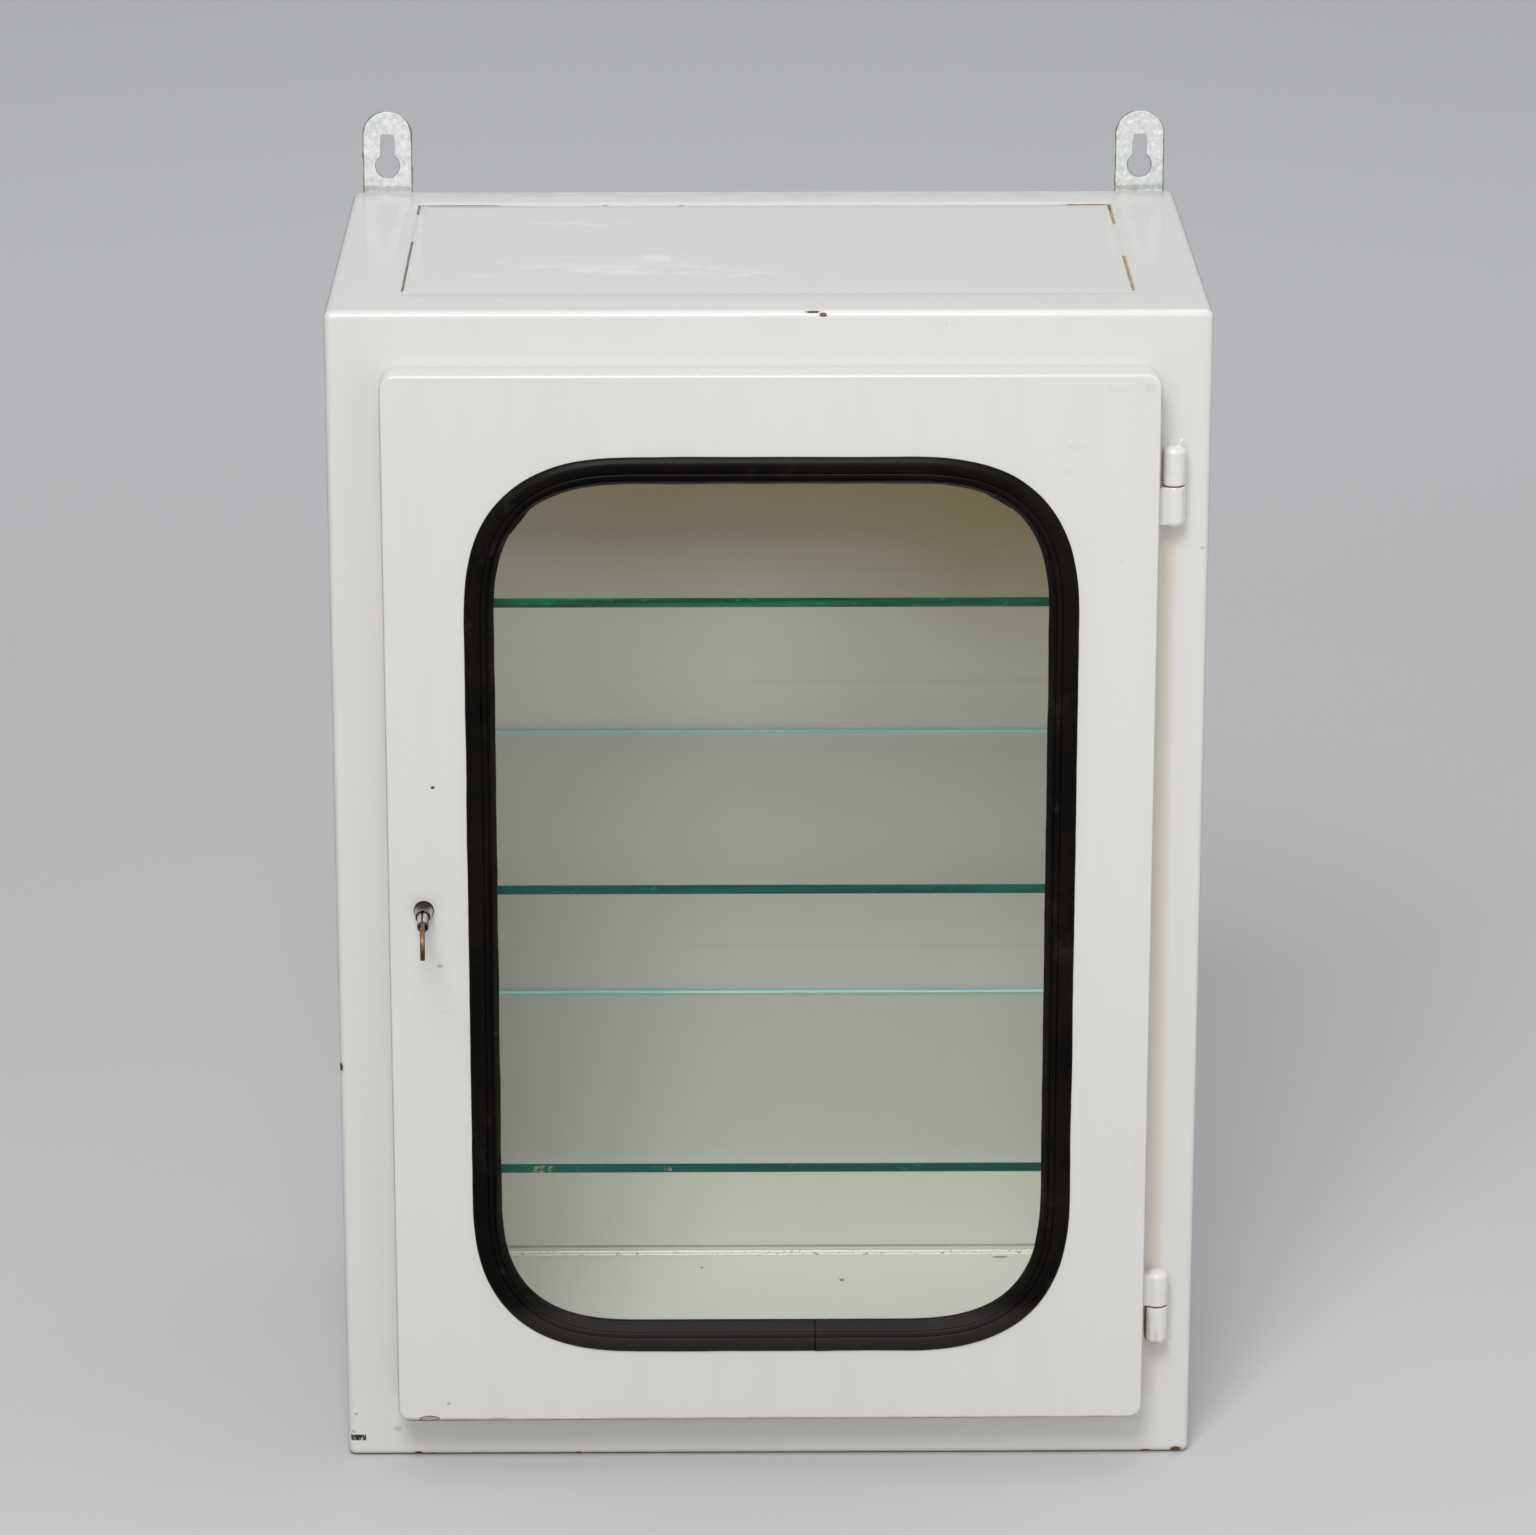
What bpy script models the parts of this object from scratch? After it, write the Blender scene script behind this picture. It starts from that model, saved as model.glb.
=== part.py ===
"""Steel medicine cabinet with a glazed door, three glass shelves and two hanging lugs.

Metres, +Z up. The origin is the middle of the underside of the carcass. +X is to the
right of someone who faces the door, and the door faces -Y.
"""

import math

import bmesh
import bpy
from mathutils import Vector

# Carcass
CABINET_WIDTH = 0.500
CABINET_DEPTH = 0.315
CABINET_HEIGHT = 0.698
SHEET = 0.0012
FOLD_RADIUS = 0.004
FIT_GAP = 0.0003

# Door pan, how far it stands off the cabinet's outline, and how far it laps the frame
DOOR_MARGIN = 0.0315
DOOR_OVERLAP = 0.0105
DOOR_PROUD = 0.022
DOOR_GAP = 0.0004
DOOR_SHEET = 0.0012
DOOR_CORNER = 0.007
DOOR_FOLD = 0.004
RETURN_BEYOND_LAP = 0.0035

# Door opening in the front frame
FRAME_LIP = 0.005
OPENING_RADIUS = 0.006

# Top: turned-over flanges and the panel let in between them
TOP_SIDE_FLANGE = 0.042
TOP_BACK_FLANGE = 0.041
TOP_FRONT_FLANGE = 0.049
TOP_SEAM = 0.0006
TOP_LAP = 0.012

# Back: flange round the opening and the sheet that lies against it inside
BACK_FLANGE = 0.040
BACK_EDGE_CLEAR = 0.0023

# Hanging lugs with keyholes
LUG_WIDTH = 0.030
LUG_THICKNESS = 0.003
LUG_SIDE_INSET = 0.006
LUG_RISE = 0.049
LUG_FOOT = 0.036
LUG_CORNER = 0.011
KEYHOLE_ROUND = 0.0144
KEYHOLE_SLOT = 0.0088
KEYHOLE_RUN = 0.0145
SLOT_END_DROP = 0.019

# Glass shelves and the angle rails that carry them
SHELF_COUNT = 3
LOWEST_SHELF_TOP = 0.182
ROOM_OVER_SHELVES = 0.170
SHELF_THICKNESS = 0.0055
SHELF_FRONT_CLEAR = 0.0012
SHELF_BACK_CLEAR = 0.0019
SHELF_END_GAP = 0.0018
SHELF_ARRIS = 0.0006
RAIL_LEG = 0.014
RAIL_SHEET = 0.0015
RAIL_END_INSET = 0.030

# Window, its glass and its rubber seal
WINDOW_BORDER = 0.044
SEAL_RADIUS = 0.076
SEAL_LIP = 0.0075
SEAL_PROUD = 0.003
SEAL_INNER_LIP = 0.0097
SEAL_WALL = 0.0024
SEAL_BACK = 0.002
GROOVE_INSET = 0.0018
GROOVE_DEPTH = 0.0008
GLASS_SETBACK = 0.0055
GLASS_THICKNESS = 0.004
FILLER_WIDTH = 0.003
FILLER_HEIGHT = 0.0029
FILLER_CHAMFER = 0.0008
FILLER_JOINT_X = 0.027
FILLER_JOINT_GAP = 0.0006

# Pin hinges
HINGE_END_INSET = 0.0675
PIN_RADIUS = 0.0025
KNUCKLE_WALL = 0.0031
KNUCKLE_LENGTH = 0.024
KNUCKLE_END = 0.005
KNUCKLE_SPLIT = 0.0006
KNUCKLE_DOME = 0.002
KNUCKLE_FRAME_GAP = 0.0016
KNUCKLE_DOOR_GAP = 0.0049
LEAF_THICKNESS = 0.004
FOOT_THICKNESS = 0.006

# Lock: nose, nut, spindle, clip, cam and cam screw
LOCK_CLEAR = 0.0098
LOCK_RISE = 0.002
NOSE_LENGTH = 0.0125
NOSE_WALL = 0.0008
NOSE_FLANGE = 0.0009
NOSE_COLLAR = 0.0015
SLEEVE_WALL = 0.0012
SLEEVE_END = 0.002
NUT_WALL = 0.0018
NUT_THICKNESS = 0.0035
SHOULDER_THICKNESS = 0.002
SPINDLE_HEAD = 0.0048
SPINDLE_NECK_RADIUS = 0.0025
SQUARE_WALL = 0.0005
PEG_LENGTH = 0.0095
CLIP_WALL = 0.0022
CLIP_THICKNESS = 0.0008
CAM_THICKNESS = 0.002
CAM_WIDTH = 0.012
CAM_OVERLAP = 0.0142
CAM_CLEAR = 0.0004
SCREW_HEAD_RADIUS = 0.0035
SCREW_HEAD_HEIGHT = 0.0015
SCREW_RADIUS = 0.001
SCREW_LENGTH = 0.006

# Key: tube and flat bow
KEY_TUBE_RADIUS = 0.0034
KEY_TUBE_WALL = 0.0012
KEY_TUBE_SHOWING = 0.013
BOW_THICKNESS = 0.0026
BOW_REACH = 0.0265
BOW_LENGTH = 0.022
BOW_HEIGHT = 0.0186
BOW_HOLE_LENGTH = 0.011
BOW_HOLE_HEIGHT = 0.0085
BOW_NECK = 0.005
BOW_TANG = 0.006

# Smoothness of round shapes
CORNER_STEPS = 4
WINDOW_STEPS = 12
TURN_STEPS = 24
BOW_STEPS = 32

# Places that follow from the sizes above
FRONT_Y = -CABINET_DEPTH / 2
BACK_Y = CABINET_DEPTH / 2
MID_Z = CABINET_HEIGHT / 2
DOOR_WIDTH = CABINET_WIDTH - 2 * DOOR_MARGIN
DOOR_HEIGHT = CABINET_HEIGHT - 2 * DOOR_MARGIN
DOOR_RETURN = DOOR_OVERLAP + RETURN_BEYOND_LAP
DOOR_FACE_Y = FRONT_Y - DOOR_PROUD
DOOR_BACK_Y = FRONT_Y - DOOR_GAP
OPENING_WIDTH = DOOR_WIDTH - 2 * DOOR_OVERLAP
OPENING_HEIGHT = DOOR_HEIGHT - 2 * DOOR_OVERLAP
SHELF_SETBACK = (FRAME_LIP + CAM_CLEAR + CAM_THICKNESS + FIT_GAP + SCREW_HEAD_HEIGHT
                 + SHELF_FRONT_CLEAR)
SHELF_DEPTH = CABINET_DEPTH - SHELF_SETBACK - 2 * SHEET - FIT_GAP - SHELF_BACK_CLEAR
SHELF_PITCH = (CABINET_HEIGHT - LOWEST_SHELF_TOP - ROOM_OVER_SHELVES) / (SHELF_COUNT - 1)
RAIL_LENGTH = SHELF_DEPTH - 2 * RAIL_END_INSET

WINDOW_WIDTH = DOOR_WIDTH - 2 * WINDOW_BORDER - 2 * SEAL_LIP
WINDOW_HEIGHT = DOOR_HEIGHT - 2 * WINDOW_BORDER - 2 * SEAL_LIP
WINDOW_RADIUS = SEAL_RADIUS - SEAL_LIP
GLASS_EDGE = FIT_GAP + SEAL_WALL + FIT_GAP

PIN_BORE = PIN_RADIUS + FIT_GAP
PIN_BITE = KNUCKLE_LENGTH - KNUCKLE_END
KNUCKLE_RADIUS = PIN_BORE + KNUCKLE_WALL
HINGE_X = DOOR_WIDTH / 2 + KNUCKLE_DOOR_GAP + KNUCKLE_RADIUS
HINGE_Y = FRONT_Y - KNUCKLE_FRAME_GAP - KNUCKLE_RADIUS
HINGE_RISE = DOOR_HEIGHT / 2 - HINGE_END_INSET

LOCK_X = -OPENING_WIDTH / 2 + LOCK_CLEAR
LOCK_Z = MID_Z + LOCK_RISE
CAM_REACH = LOCK_CLEAR + CAM_OVERLAP
KEY_BORE = KEY_TUBE_RADIUS + FIT_GAP
NECK_BORE = SPINDLE_NECK_RADIUS + FIT_GAP
SLEEVE_RADIUS = KEY_BORE + SLEEVE_WALL
SLEEVE_HOLE = SLEEVE_RADIUS + FIT_GAP
SCREW_BORE = SCREW_RADIUS + FIT_GAP
SPINDLE_SQUARE = SCREW_BORE + SQUARE_WALL
KEY_SOCKET = KEY_TUBE_RADIUS - KEY_TUBE_WALL
PEG_RADIUS = KEY_SOCKET - FIT_GAP

# Depths in the lock, counted outwards from the door's face
NUT_FRONT = -DOOR_SHEET - FIT_GAP
NUT_BACK = NUT_FRONT - NUT_THICKNESS
SLEEVE_BACK = NUT_BACK - SLEEVE_END
SHOULDER_FRONT = SLEEVE_BACK + SHOULDER_THICKNESS
SPINDLE_FRONT = SHOULDER_FRONT + FIT_GAP + SPINDLE_HEAD
CLIP_FRONT = SLEEVE_BACK - FIT_GAP
CAM_FRONT = -DOOR_PROUD - FRAME_LIP - CAM_CLEAR
CAM_BACK = CAM_FRONT - CAM_THICKNESS
NECK_BACK = CAM_FRONT + FIT_GAP
SQUARE_BACK = CAM_BACK + FIT_GAP
SCREW_FRONT = CAM_BACK - FIT_GAP
KEY_TUBE_START = SPINDLE_FRONT + FIT_GAP
KEY_TUBE_END = NOSE_LENGTH + KEY_TUBE_SHOWING
BOW_CENTRE = KEY_TUBE_END + BOW_REACH


def clear_scene():
    """Remove whatever the opened file holds."""
    for old in list(bpy.data.objects):
        bpy.data.objects.remove(old, do_unlink=True)


def new_collection(name):
    """Make a collection in the scene."""
    collection = bpy.data.collections.new(name)
    bpy.context.scene.collection.children.link(collection)
    return collection


clear_scene()
PARTS = new_collection("medicine_cabinet")
CUTTERS = new_collection("cutters")


def make_material(name, colour, roughness, metallic=0.0, transmission=0.0):
    """A Principled material with the finish of one kind of piece."""
    finish = bpy.data.materials.new(name)
    finish.use_nodes = True
    shader = finish.node_tree.nodes["Principled BSDF"]
    shader.inputs["Base Color"].default_value = (*colour, 1.0)
    shader.inputs["Roughness"].default_value = roughness
    shader.inputs["Metallic"].default_value = metallic
    shader.inputs["Transmission Weight"].default_value = transmission
    finish.diffuse_color = (*colour, 1.0)
    return finish


WHITE = ("white_enamel", (0.68, 0.67, 0.64), 0.35)
GLASS = ("window_glass", (0.75, 0.86, 0.82), 0.03, 0.0, 0.9)
SHELF_GLASS = ("shelf_glass", (0.45, 0.72, 0.64), 0.05, 0.0, 0.85)
RUBBER = ("black_rubber", (0.02, 0.019, 0.016), 0.5)
STEEL = ("dull_steel", (0.42, 0.41, 0.40), 0.38, 1.0)
BRASS = ("aged_brass", (0.38, 0.25, 0.11), 0.42, 1.0)


def new_part(name, mesh, location, finish):
    """Put a mesh in the model as a named piece with its own material."""
    part = bpy.data.objects.new(name, mesh)
    PARTS.objects.link(part)
    part.location = location
    part.data.materials.append(make_material(name + "_" + finish[0], *finish[1:]))
    return part


def new_cutter(name, mesh, location):
    """Put a mesh among the cutters, which are not part of the model."""
    cutter = bpy.data.objects.new(name, mesh)
    CUTTERS.objects.link(cutter)
    cutter.location = location
    cutter.hide_render = True
    cutter.display_type = "WIRE"
    return cutter


def combine(part, cutter, operation="DIFFERENCE"):
    """Cut a piece by a cutter, or join the cutter's shape to it."""
    modifier = part.modifiers.new(cutter.name, "BOOLEAN")
    modifier.object = cutter
    modifier.operation = operation
    modifier.solver = "EXACT"


def to_mesh(name, shape):
    """Turn a bmesh into a mesh."""
    mesh = bpy.data.meshes.new(name)
    shape.to_mesh(mesh)
    shape.free()
    return mesh


def box_mesh(name, size):
    """A box centred on its origin."""
    shape = bmesh.new()
    bmesh.ops.create_cube(shape, size=1.0)
    bmesh.ops.scale(shape, vec=size, verts=shape.verts)
    return to_mesh(name, shape)


def span_box(low, high):
    """The centre and size of the box between two corners."""
    low, high = Vector(low), Vector(high)
    return (low + high) / 2, high - low


def cutter_between(name, low, high):
    """A box-shaped cutter between two corners."""
    centre, size = span_box(low, high)
    return new_cutter(name, box_mesh(name, size), centre)


def part_between(name, low, high, finish):
    """A box-shaped piece between two corners."""
    centre, size = span_box(low, high)
    return new_part(name, box_mesh(name, size), centre, finish)


def slab_mesh(name, width, depth, height, corner, steps, rim=0.0):
    """An upright slab facing -Y with round corners and, if asked, a round front rim."""
    shape = bmesh.new()
    bmesh.ops.create_cube(shape, size=1.0)
    bmesh.ops.scale(shape, vec=(width, depth, height), verts=shape.verts)
    corners = [e for e in shape.edges if abs(e.verts[0].co.y - e.verts[1].co.y) > depth / 2]
    bmesh.ops.bevel(shape, geom=corners, offset=corner, segments=steps, profile=0.5,
                    affect="EDGES")
    if rim:
        front = [e for e in shape.edges if all(v.co.y < -depth * 0.49 for v in e.verts)]
        bmesh.ops.bevel(shape, geom=front, offset=rim, segments=CORNER_STEPS, profile=0.5,
                        affect="EDGES")
    return to_mesh(name, shape)


def rounded_rectangle(width, height, radius, steps, start_x=None):
    """Points round a rectangle with arcs for corners, or from one gap in its lower side."""
    points = []
    for turn in range(4):
        first = math.radians(-90 + 90 * turn)
        side_x = 1 if turn in (0, 1) else -1
        side_z = 1 if turn in (1, 2) else -1
        middle = Vector((side_x * (width / 2 - radius), side_z * (height / 2 - radius)))
        for step in range(steps + 1):
            angle = first + math.radians(90) * step / steps
            points.append(middle + radius * Vector((math.cos(angle), math.sin(angle))))
    if start_x is not None:
        half_gap = FILLER_JOINT_GAP / 2
        points.insert(0, Vector((start_x + half_gap, -height / 2)))
        points.append(Vector((start_x - half_gap, -height / 2)))
    return points


def poly_curve(name, points, closed):
    """A flat curve of straight steps through the given points."""
    curve = bpy.data.curves.new(name, "CURVE")
    curve.dimensions = "2D"
    curve.fill_mode = "NONE"
    spline = curve.splines.new("POLY")
    spline.points.add(len(points) - 1)
    for target, point in zip(spline.points, points):
        target.co = (point[0], point[1], 0.0, 1.0)
    spline.use_cyclic_u = closed
    return curve


def swept_part(name, section, path, closed, finish):
    """A section carried along a path that stands upright in the door's face plane."""
    # A closed flat curve lays the section's +X inwards, and an open one lays it outwards
    outwards = -1 if closed else 1
    guide_curve = poly_curve(name + "_section", [(outwards * u, v) for u, v in section], True)
    guide = bpy.data.objects.new(name + "_section", guide_curve)
    CUTTERS.objects.link(guide)
    guide.hide_render = True
    guide.display_type = "WIRE"
    curve = poly_curve(name + "_path", path, closed)
    curve.bevel_mode = "OBJECT"
    curve.bevel_object = guide
    curve.use_fill_caps = not closed
    sweep = bpy.data.objects.new(name + "_path", curve)
    CUTTERS.objects.link(sweep)
    sweep.rotation_euler.x = math.radians(90)
    sweep.location = (0.0, DOOR_FACE_Y, MID_Z)
    bpy.context.view_layer.update()
    ready = sweep.evaluated_get(bpy.context.evaluated_depsgraph_get())
    mesh = bpy.data.meshes.new_from_object(ready)
    shape = bmesh.new()
    shape.from_mesh(mesh)
    bmesh.ops.remove_doubles(shape, verts=shape.verts, dist=0.00001)
    bmesh.ops.recalc_face_normals(shape, faces=shape.faces)
    shape.to_mesh(mesh)
    shape.free()
    mesh.materials.clear()
    part = new_part(name, mesh, (0.0, 0.0, 0.0), finish)
    part.matrix_world = sweep.matrix_world
    bpy.data.objects.remove(sweep)
    return part


def turned_mesh(name, profile, closed=False):
    """The half outline of a turned piece, as radius and height pairs."""
    shape = bmesh.new()
    corners = [shape.verts.new((radius, 0.0, height)) for radius, height in profile]
    for first, second in zip(corners, corners[1:]):
        shape.edges.new((first, second))
    if closed:
        shape.edges.new((corners[-1], corners[0]))
    return to_mesh(name, shape)


def turn(part, steps=TURN_STEPS):
    """Spin the piece's outline about its own Z axis."""
    screw = part.modifiers.new("turn", "SCREW")
    screw.axis = "Z"
    screw.angle = math.radians(360)
    screw.steps = steps
    screw.render_steps = steps
    screw.use_merge_vertices = True
    screw.merge_threshold = 0.00001
    screw.use_smooth_shade = True


def disc_mesh(name, radius, thickness, steps, stretch=1.0):
    """A disc about the Z axis; stretch makes it longer along X."""
    shape = bmesh.new()
    bmesh.ops.create_cone(shape, cap_ends=True, segments=steps, radius1=radius,
                          radius2=radius, depth=thickness)
    bmesh.ops.scale(shape, vec=(stretch, 1.0, 1.0), verts=shape.verts)
    return to_mesh(name, shape)


def round_cutter(name, radius, thickness, location, steps=TURN_STEPS):
    """A cylindrical cutter whose axis runs front to back."""
    cutter = new_cutter(name, disc_mesh(name, radius, thickness, steps), location)
    cutter.rotation_euler.x = math.radians(90)
    return cutter


def carried_by(name, location, parent=None):
    """An empty on a joint's axis, for the pieces that move with it."""
    axis = bpy.data.objects.new(name, None)
    PARTS.objects.link(axis)
    axis.location = location
    if parent:
        carry(axis, parent)
    return axis


def world_place(item):
    """Where an item stands, with the places of its parents added."""
    place = Vector(item.location)
    while item.parent:
        item = item.parent
        place += item.location
    return place


def carry(item, axis):
    """Parent an item to an axis and leave it where it stands."""
    item.location = Vector(item.location) - world_place(axis)
    item.parent = axis


def bevel(part, width, steps=2):
    """Round every sharp edge of a piece."""
    modifier = part.modifiers.new("edges", "BEVEL")
    modifier.width = width
    modifier.segments = steps
    modifier.limit_method = "ANGLE"
    modifier.angle_limit = math.radians(50)


def make_carcass():
    """Sides, floor, front frame and the turned-over flanges, welded into one shell."""
    shell = part_between("carcass_shell", (-CABINET_WIDTH / 2, FRONT_Y, 0.0),
                         (CABINET_WIDTH / 2, BACK_Y, CABINET_HEIGHT), WHITE)
    bevel(shell, FOLD_RADIUS, CORNER_STEPS)
    cavity = cutter_between("carcass_cavity",
                            (-CABINET_WIDTH / 2 + SHEET, FRONT_Y + SHEET, SHEET),
                            (CABINET_WIDTH / 2 - SHEET, BACK_Y - SHEET, CABINET_HEIGHT - SHEET))
    bevel(cavity, FOLD_RADIUS - SHEET, CORNER_STEPS)
    combine(shell, cavity)

    lip_start = FRONT_Y + SHEET / 2
    lip_depth = FRAME_LIP - SHEET / 2
    lip = slab_mesh("frame_lip", OPENING_WIDTH + 2 * SHEET, lip_depth,
                    OPENING_HEIGHT + 2 * SHEET, OPENING_RADIUS + SHEET, CORNER_STEPS)
    combine(shell, new_cutter("frame_lip", lip, (0.0, lip_start + lip_depth / 2, MID_Z)),
            "UNION")
    hole = slab_mesh("door_opening", OPENING_WIDTH, 4 * FRAME_LIP, OPENING_HEIGHT,
                     OPENING_RADIUS, CORNER_STEPS)
    combine(shell, new_cutter("door_opening", hole, (0.0, FRONT_Y, MID_Z)))

    combine(shell, cutter_between(
        "top_opening",
        (-CABINET_WIDTH / 2 + TOP_SIDE_FLANGE, FRONT_Y + TOP_FRONT_FLANGE,
         CABINET_HEIGHT - 3 * SHEET),
        (CABINET_WIDTH / 2 - TOP_SIDE_FLANGE, BACK_Y - TOP_BACK_FLANGE, CABINET_HEIGHT + SHEET)))
    combine(shell, cutter_between(
        "back_opening",
        (-CABINET_WIDTH / 2 + BACK_FLANGE, BACK_Y - 3 * SHEET, BACK_FLANGE),
        (CABINET_WIDTH / 2 - BACK_FLANGE, BACK_Y + SHEET, CABINET_HEIGHT - BACK_FLANGE)))


def make_top_panel():
    """The panel flush with the top, with a stepped-down rim that laps under the flanges."""
    half_width = CABINET_WIDTH / 2 - TOP_SIDE_FLANGE
    front = FRONT_Y + TOP_FRONT_FLANGE
    back = BACK_Y - TOP_BACK_FLANGE
    lap_top = CABINET_HEIGHT - SHEET - FIT_GAP
    panel = part_between("top_panel", (-half_width - TOP_LAP, front - TOP_LAP, lap_top - SHEET),
                         (half_width + TOP_LAP, back + TOP_LAP, lap_top), WHITE)
    raised = cutter_between("top_panel_raised",
                            (-half_width + TOP_SEAM, front + FIT_GAP, lap_top - SHEET / 2),
                            (half_width - TOP_SEAM, back - TOP_SEAM, CABINET_HEIGHT))
    combine(panel, raised, "UNION")


def make_back_panel():
    """The back sheet, inside the shell against its back flange."""
    face = BACK_Y - SHEET - FIT_GAP
    half_width = CABINET_WIDTH / 2 - SHEET - BACK_EDGE_CLEAR
    part_between("back_panel", (-half_width, face - SHEET, SHEET + BACK_EDGE_CLEAR),
                 (half_width, face, CABINET_HEIGHT - SHEET - BACK_EDGE_CLEAR), WHITE)


def make_lug(name, side):
    """A flat steel ear welded to the back flange, with a keyhole for a wall screw."""
    height = LUG_FOOT + LUG_RISE
    middle_x = side * (CABINET_WIDTH / 2 - LUG_SIDE_INSET - LUG_WIDTH / 2)
    middle_y = BACK_Y + FIT_GAP + LUG_THICKNESS / 2
    shape = bmesh.new()
    bmesh.ops.create_cube(shape, size=1.0)
    bmesh.ops.scale(shape, vec=(LUG_WIDTH, LUG_THICKNESS, height), verts=shape.verts)
    shoulders = [e for e in shape.edges
                 if all(v.co.z > 0 for v in e.verts)
                 and abs(e.verts[0].co.y - e.verts[1].co.y) > LUG_THICKNESS / 2]
    bmesh.ops.bevel(shape, geom=shoulders, offset=LUG_CORNER, segments=2 * CORNER_STEPS,
                    profile=0.5, affect="EDGES")
    middle_z = CABINET_HEIGHT - LUG_FOOT + height / 2
    lug = new_part(name, to_mesh(name, shape), (middle_x, middle_y, middle_z), WHITE)
    slot_z = CABINET_HEIGHT + LUG_RISE - SLOT_END_DROP
    round_z = slot_z - KEYHOLE_RUN
    through = 4 * LUG_THICKNESS
    combine(lug, round_cutter(name + "_round", KEYHOLE_ROUND / 2, through,
                              (middle_x, middle_y, round_z)))
    combine(lug, cutter_between(
        name + "_slot", (middle_x - KEYHOLE_SLOT / 2, middle_y - through / 2, round_z),
        (middle_x + KEYHOLE_SLOT / 2, middle_y + through / 2, slot_z)))
    combine(lug, round_cutter(name + "_slot_end", KEYHOLE_SLOT / 2, through,
                              (middle_x, middle_y, slot_z)))


def shelf_top(number):
    """Height of a shelf's upper face, counted from the lowest shelf."""
    return LOWEST_SHELF_TOP + number * SHELF_PITCH


def make_rail(name, side, number):
    """An angle rail on the side wall, whose flat leg carries one end of a shelf."""
    wall_x = side * (CABINET_WIDTH / 2 - SHEET - FIT_GAP)
    inner_x = wall_x - side * RAIL_LEG
    top = shelf_top(number) - SHELF_THICKNESS - FIT_GAP
    middle_y = FRONT_Y + SHELF_SETBACK + SHELF_DEPTH / 2
    rail = part_between(name, (min(wall_x, inner_x), middle_y - RAIL_LENGTH / 2, top - RAIL_LEG),
                        (max(wall_x, inner_x), middle_y + RAIL_LENGTH / 2, top), WHITE)
    hollow_x = wall_x - side * RAIL_SHEET
    beyond_x = inner_x - side * RAIL_SHEET
    combine(rail, cutter_between(
        name + "_hollow",
        (min(hollow_x, beyond_x), middle_y - RAIL_LENGTH, top - 2 * RAIL_LEG),
        (max(hollow_x, beyond_x), middle_y + RAIL_LENGTH, top - RAIL_SHEET)))


def make_shelf(name, number):
    """A loose glass shelf, lying on a pair of rails."""
    half_width = CABINET_WIDTH / 2 - SHEET - SHELF_END_GAP
    front = FRONT_Y + SHELF_SETBACK
    axis = carried_by(name + "_lift", (0.0, front + SHELF_DEPTH / 2, shelf_top(number)))
    shelf = part_between(name, (-half_width, front, shelf_top(number) - SHELF_THICKNESS),
                         (half_width, front + SHELF_DEPTH, shelf_top(number)), SHELF_GLASS)
    bevel(shelf, SHELF_ARRIS, 1)
    carry(shelf, axis)


def make_door_pan(axis):
    """The door's sheet pan: round front edges, turned-in back flange, window and lock hole."""
    depth = DOOR_PROUD - DOOR_GAP
    middle_y = (DOOR_FACE_Y + DOOR_BACK_Y) / 2
    mesh = slab_mesh("door_pan", DOOR_WIDTH, depth, DOOR_HEIGHT, DOOR_CORNER, CORNER_STEPS,
                     DOOR_FOLD)
    pan = new_part("door_pan", mesh, (0.0, middle_y, MID_Z), WHITE)
    inside = slab_mesh("door_hollow", DOOR_WIDTH - 2 * DOOR_SHEET, depth - 2 * DOOR_SHEET,
                       DOOR_HEIGHT - 2 * DOOR_SHEET, DOOR_CORNER - DOOR_SHEET, CORNER_STEPS,
                       DOOR_FOLD - DOOR_SHEET)
    combine(pan, new_cutter("door_hollow", inside, (0.0, middle_y, MID_Z)))
    mouth = slab_mesh("door_mouth", DOOR_WIDTH - 2 * DOOR_RETURN, 4 * DOOR_SHEET,
                      DOOR_HEIGHT - 2 * DOOR_RETURN, DOOR_SHEET, 1)
    combine(pan, new_cutter("door_mouth", mouth, (0.0, DOOR_BACK_Y, MID_Z)))
    window = slab_mesh("door_window", WINDOW_WIDTH, 4 * DOOR_SHEET, WINDOW_HEIGHT,
                       WINDOW_RADIUS, WINDOW_STEPS)
    combine(pan, new_cutter("door_window", window, (0.0, DOOR_FACE_Y, MID_Z)))
    combine(pan, round_cutter("lock_hole", SLEEVE_HOLE, 4 * DOOR_SHEET,
                              (LOCK_X, DOOR_FACE_Y, LOCK_Z)))
    carry(pan, axis)


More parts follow.
